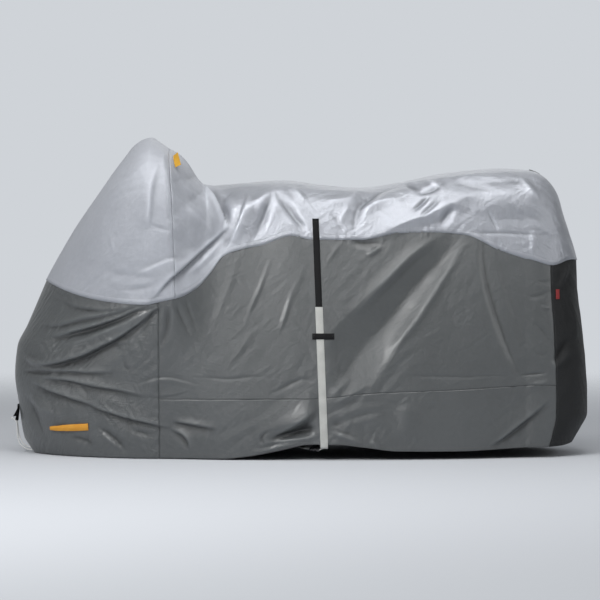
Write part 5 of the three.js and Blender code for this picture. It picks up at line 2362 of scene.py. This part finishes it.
SILVERS = (linear(179, 182, 189), linear(166, 169, 176))
GREYS = (linear(80, 83, 84), linear(71, 74, 75))
BLACKS = (linear(36, 37, 38), linear(28, 29, 30))
LINING = (linear(78, 80, 82), linear(66, 68, 70))
CLOTHS = {
    "silver": ClothFinish(
        "silver_cloth", *SILVERS, roughness=0.33, metallic=0.55, coat=0.12, crease=0.25, crease_scale=26.0,
        facet=0.26, stitch=0.1, hollow_shade=0.8, dull_until=0.2,
    ),
    "silver_hood": ClothFinish(
        "silver_hood", *SILVERS, roughness=0.48, metallic=0.25, crease_scale=26.0, facet=0.14, stitch=0.1,
        hollow_shade=0.85,
    ),
    "grey": ClothFinish(
        "grey_cloth", *GREYS, roughness=0.36, coat=0.4, crease=0.38, crease_scale=26.0, facet=0.16,
        specular=0.8, hollow_shade=0.5, crest=1.2,
    ),
    "grey_front": ClothFinish(
        "grey_front", *GREYS, roughness=0.36, coat=0.4, crease=0.6, facet=0.32, facet_pitch=0.034,
        specular=0.8, hollow_shade=0.5, crest=1.2,
    ),
    "black": ClothFinish("black_cloth", *BLACKS, roughness=0.55, specular=0.3),
    "lining": ClothFinish("lining", *LINING, roughness=0.6),
}
WEBBINGS = {
    "black": WebbingFinish("black_webbing", linear(20, 20, 22), linear(10, 10, 12), 0.75, 0.0016),
    "white": WebbingFinish("white_webbing", linear(194, 195, 191), linear(168, 169, 166), 0.75, 0.0016),
    "orange": WebbingFinish("orange_webbing", linear(224, 164, 70), linear(200, 134, 42), 0.65, 0.0016),
    "yellow": WebbingFinish("yellow_tape", linear(194, 150, 52), linear(168, 124, 34), 0.65, 0.001),
    "red": WebbingFinish("red_tape", linear(150, 60, 60), linear(118, 40, 42), 0.65, 0.001),
    "pale": WebbingFinish("pale_thread", linear(205, 207, 210), linear(180, 182, 186), 0.6, 0.0006),
    "dull": WebbingFinish("dull_thread", linear(96, 98, 100), linear(78, 80, 82), 0.6, 0.0006),
    "braid": WebbingFinish("white_braid", linear(232, 232, 230), linear(200, 200, 198), 0.7, 0.0022),
}
PLASTIC = MouldedFinish("moulded_plastic", linear(58, 58, 60), linear(38, 38, 40), 0.45)


def aimed(piece: Piece, at: Place, aim: Place) -> None:
    """Sets a lamp or the camera at a place and turns it to face another."""
    piece.location = at
    piece.rotation_euler = (Vector(aim) - Vector(at)).to_track_quat("-Z", "Y").to_euler()


@dataclass(frozen=True)
class Lamp:
    """Soft rectangular lamp: place, what it faces, width and height in metres, and power in watts."""

    name: str
    at: Place
    aim: Place
    size: tuple[float, float]
    power: float

    def build(self) -> None:
        """Hangs the lamp, out of the camera's sight."""
        light = bpy.data.lights.new(self.name, "AREA")
        light.shape = "RECTANGLE"
        light.size, light.size_y = self.size
        light.energy = self.power
        piece = linked(self.name, light)
        aimed(piece, self.at, self.aim)
        piece.visible_camera = False


@dataclass
class Studio:
    """Camera, soft lights, pale floor and backdrop colour."""

    camera_at: Place = (0.0, -10.0, 0.9)
    camera_aim: Place = (-0.003, 0.0, 0.603)
    frame_width: float = 2.381
    sensor: float = 36.0
    sight: float = 100.0
    floor_radius: float = 9.0
    floor_near: float = 2.0
    floor_far: float = 6.0
    floor_corners: int = 96
    floor_drop: float = 0.0015
    backdrop: Colour = linear(207, 211, 216)
    paper: Colour = linear(206, 209, 214)
    glow_level: Colour = (0.16, 0.163, 0.166)
    glow_above: Colour = (0.26, 0.267, 0.274)
    glow_behind: Colour = (0.46, 0.475, 0.49)
    above_range: tuple[float, float] = (-0.1, 0.7)
    behind_range: tuple[float, float] = (0.2, 0.9)
    lamps: tuple[Lamp, ...] = (
        Lamp("top", (0.1, -1.5, 3.4), (0.0, 0.0, 0.5), (3.0, 2.0), 60.0),
        Lamp("key", (-2.5, -3.9, 2.9), (0.0, 0.0, 0.6), (1.6, 1.6), 130.0),
        Lamp("fill", (4.2, -2.2, 1.9), (0.0, 0.0, 0.6), (2.0, 2.0), 26.0),
        Lamp("back", (0.8, 3.6, 3.0), (0.0, 0.0, 0.6), (3.0, 2.0), 13.0),
    )

    def camera(self) -> None:
        """Sets the camera at the photograph's angle."""
        lens = bpy.data.cameras.new("camera")
        lens.sensor_width = self.sensor
        lens.lens = self.sensor * -self.camera_at[1] / self.frame_width
        lens.clip_end = self.sight
        piece = linked("camera", lens)
        aimed(piece, self.camera_at, self.camera_aim)
        bpy.context.scene.camera = piece

    def floor(self) -> None:
        """Lays a pale floor that fades into the backdrop colour."""
        shape = bmesh.new()
        bmesh.ops.create_circle(shape, cap_ends=True, radius=self.floor_radius, segments=self.floor_corners)
        mesh = bpy.data.meshes.new("floor")
        shape.to_mesh(mesh)
        shape.free()
        piece = linked("floor", mesh)
        piece.location = (0, 0, -self.floor_drop)
        board = NodeBoard.material("studio_floor")
        away = board.node("ShaderNodeVectorMath", {"operation": "LENGTH"}, {0: board.place()}, "Value")
        paper = board.node("ShaderNodeBsdfDiffuse", {}, {"Color": (*self.paper, 1.0)})
        gone = board.node("ShaderNodeBsdfTransparent", {}, {})
        share = board.step(away, self.floor_near, self.floor_far)
        both = board.node("ShaderNodeMixShader", {}, {0: share, 1: paper, 2: gone})
        mesh.materials.append(board.close(both))

    def sky(self) -> None:
        """Sets an even backdrop, and a soft glow that lights the cover, most from behind."""
        board = NodeBoard(bpy.data.worlds.new("studio"))
        way = board.node("ShaderNodeTexCoord", {}, {}, "Generated")
        height = board.node("ShaderNodeSeparateXYZ", {}, {"Vector": way}, "Z")
        glow = board.mix(board.step(height, *self.above_range), self.glow_level, self.glow_above)
        glow = board.mix(board.step(height.also("Y"), *self.behind_range), glow, self.glow_behind)
        seen = board.node("ShaderNodeLightPath", {}, {}, "Is Camera Ray")
        shade = board.node("ShaderNodeBackground", {}, {"Color": board.mix(seen, glow, self.backdrop)})
        bpy.context.scene.world = board.close(shade, "ShaderNodeOutputWorld")

    def build(self) -> None:
        """Sets up the whole studio."""
        bpy.context.scene.view_settings.view_transform = "Standard"
        self.camera()
        self.floor()
        self.sky()
        for lamp in self.lamps:
            lamp.build()


SIDE_CELLS = {Side.LEFT: 4.8, Side.RIGHT: 8.0}


def panels(form: CoverForm) -> list[ClothPanel]:
    """Panels of the cover.

    Args:
        form: Form that they hang on.

    Returns:
        The cut panels, in the order in which they are made.
    """
    both = (Side.LEFT, Side.RIGHT)
    skirt = form.along(form.skirt_seam_x)
    hood = form.along(form.hood_seam_x)
    tail = form.tail_seam_turn
    hanging = {Edge.TOP: Sewing.TUCK, Edge.LOW: Sewing.HEM}
    ends = {Edge.FRONT: Sewing.SEAM, Edge.REAR: Sewing.SEAM}
    rays = CreaseField(1.6, 62.0, 2.4, hub=Spot(-500, 610))
    made = [
        ClothPanel(
            "hood_cloth", "hood_panel", "silver_cloth", both, (0.0, hood), Band.SILVER,
            {Edge.LOW: Sewing.LAP, Edge.REAR: Sewing.SEAM}, flat=(1.5, 1.0), area=0.87, held="draped",
            creases=(CreaseField(0.9, 90.0, 1.6, turn=62.0), CreaseField(0.5, 46.0, 2.0, turn=-15.0)),
            finish="silver_hood", cell=5.4,
        ),
        ClothPanel(
            "saddle_cloth", "saddle_panel", "silver_cloth", both, (hood, 3.0), Band.SILVER,
            {Edge.LOW: Sewing.LAP, Edge.FRONT: Sewing.SEAM}, flat=(1.3, 1.9), area=1.54, held="draped",
            creases=(CreaseField(1.5, 120.0, 1.4, turn=24.0), CreaseField(0.7, 48.0, 1.9, turn=-35.0)),
            finish="silver", cell=6.2,
        ),
        ClothPanel(
            "front_cloth", "front_skirt", "grey_cloth", both, (0.0, skirt), Band.SKIRT,
            {Edge.REAR: Sewing.SEAM} | hanging, flat=(1.75, 0.75), area=0.91, held="hung",
            creases=(rays, CreaseField(0.9, 34.0, 1.6, turn=35.0)), finish="grey_front", cell=5.0,
        ),
        ClothPanel(
            "tail_cloth", "tail_panel", "black_cloth", both, (tail, 3.0), Band.SKIRT,
            {Edge.FRONT: Sewing.SEAM} | hanging, flat=(0.65, 0.76), area=0.435, held="hung",
            creases=(CreaseField(1.5, 70.0, 1.6, turn=60.0),), finish="black", cell=5.6,
        ),
    ]
    for side, cell in SIDE_CELLS.items():
        word = side.name.lower()
        made.append(ClothPanel(
            f"flank_{word}", f"side_{word}", "grey_cloth", (side,), (skirt, tail), Band.SIDE,
            ends | {Edge.LOW: Sewing.SEAM, Edge.TOP: Sewing.TUCK}, flat=(1.65, 0.68), area=0.89,
            creases=(CreaseField(0.8, 80.0, 2.2, turn=55.0), CreaseField(0.3, 38.0, 1.8, turn=70.0)),
            held="hung", finish="grey", cell=cell,
        ))
        made.append(ClothPanel(
            f"hem_band_{word}", f"hem_{word}", "grey_cloth", (side,), (skirt, tail), Band.HEM,
            ends | {Edge.TOP: Sewing.SEAM, Edge.LOW: Sewing.HEM}, flat=(1.65, 0.26), area=0.345,
            creases=(CreaseField(1.4, 70.0, 1.8, turn=20.0), CreaseField(0.6, 34.0, 1.6, turn=50.0)),
            held="hung", finish="grey", cell=cell,
        ))
    return made


SEWN_IN = {Sewing.LAP: 20.0, Sewing.SEAM: 6.0, Sewing.HEM: 18.0}


def sew(sheets: Sequence[ClothPanel], seat: ClothSeat, pale: Material, dull: Material) -> None:
    """Sews the panels: top stitching along laps and seams, the hem, and the seams within a panel.

    Args:
        sheets: Built panels.
        seat: Search tree of the cloth.
        pale: Thread in the silver cloth.
        dull: Thread in the grey and black cloth.
    """
    silver = Stitching("stitches_silver")
    grey = Stitching("stitches_grey")
    for sheet in sheets:
        rows = silver if sheet.band is Band.SILVER else grey
        for edge, sewing in sheet.edges.items():
            if sewing is Sewing.TUCK or (rows is silver and sewing is Sewing.SEAM):
                continue
            for side in sheet.sides:
                rows.row(*sheet.line(side, edge, SEWN_IN[sewing]))
    for side in Side:
        for seam in TAIL_SEAMS:
            silver.row(*seat.trace(side, seam))
        grey.row(*seat.trace(side, FRONT_SEAM))
    attach(silver.build(pale), "silver_cloth")
    attach(grey.build(dull), "grey_cloth")


def main() -> None:
    """Builds the studio, the cord, the cloth and its trim in order."""
    logging.basicConfig(level=logging.INFO, format="%(message)s")
    Studio().build()
    cloths = {name: finish.paint() for name, finish in CLOTHS.items()}
    webbings = {name: finish.paint() for name, finish in WEBBINGS.items()}
    DrawCord().build(webbings["braid"])

    form = CoverForm()
    sheets = panels(form)
    for sheet in sheets:
        sheet.build(form, cloths[sheet.finish], cloths["lining"])
    seat = ClothSeat(sheets)
    sew(sheets, seat, webbings["pale"], webbings["dull"])

    bars = Stitching("stitches_black", pitch=3.4, length=2.6, width=0.9, height=0.5)
    BellyBelt(form, seat).build(webbings["white"], webbings["black"], PLASTIC.paint(), bars)
    SewnTabs(seat).build(webbings, bars)
    attach(bars.build(webbings["dull"]), "black_webbing")


if __name__ == "__main__":
    main()
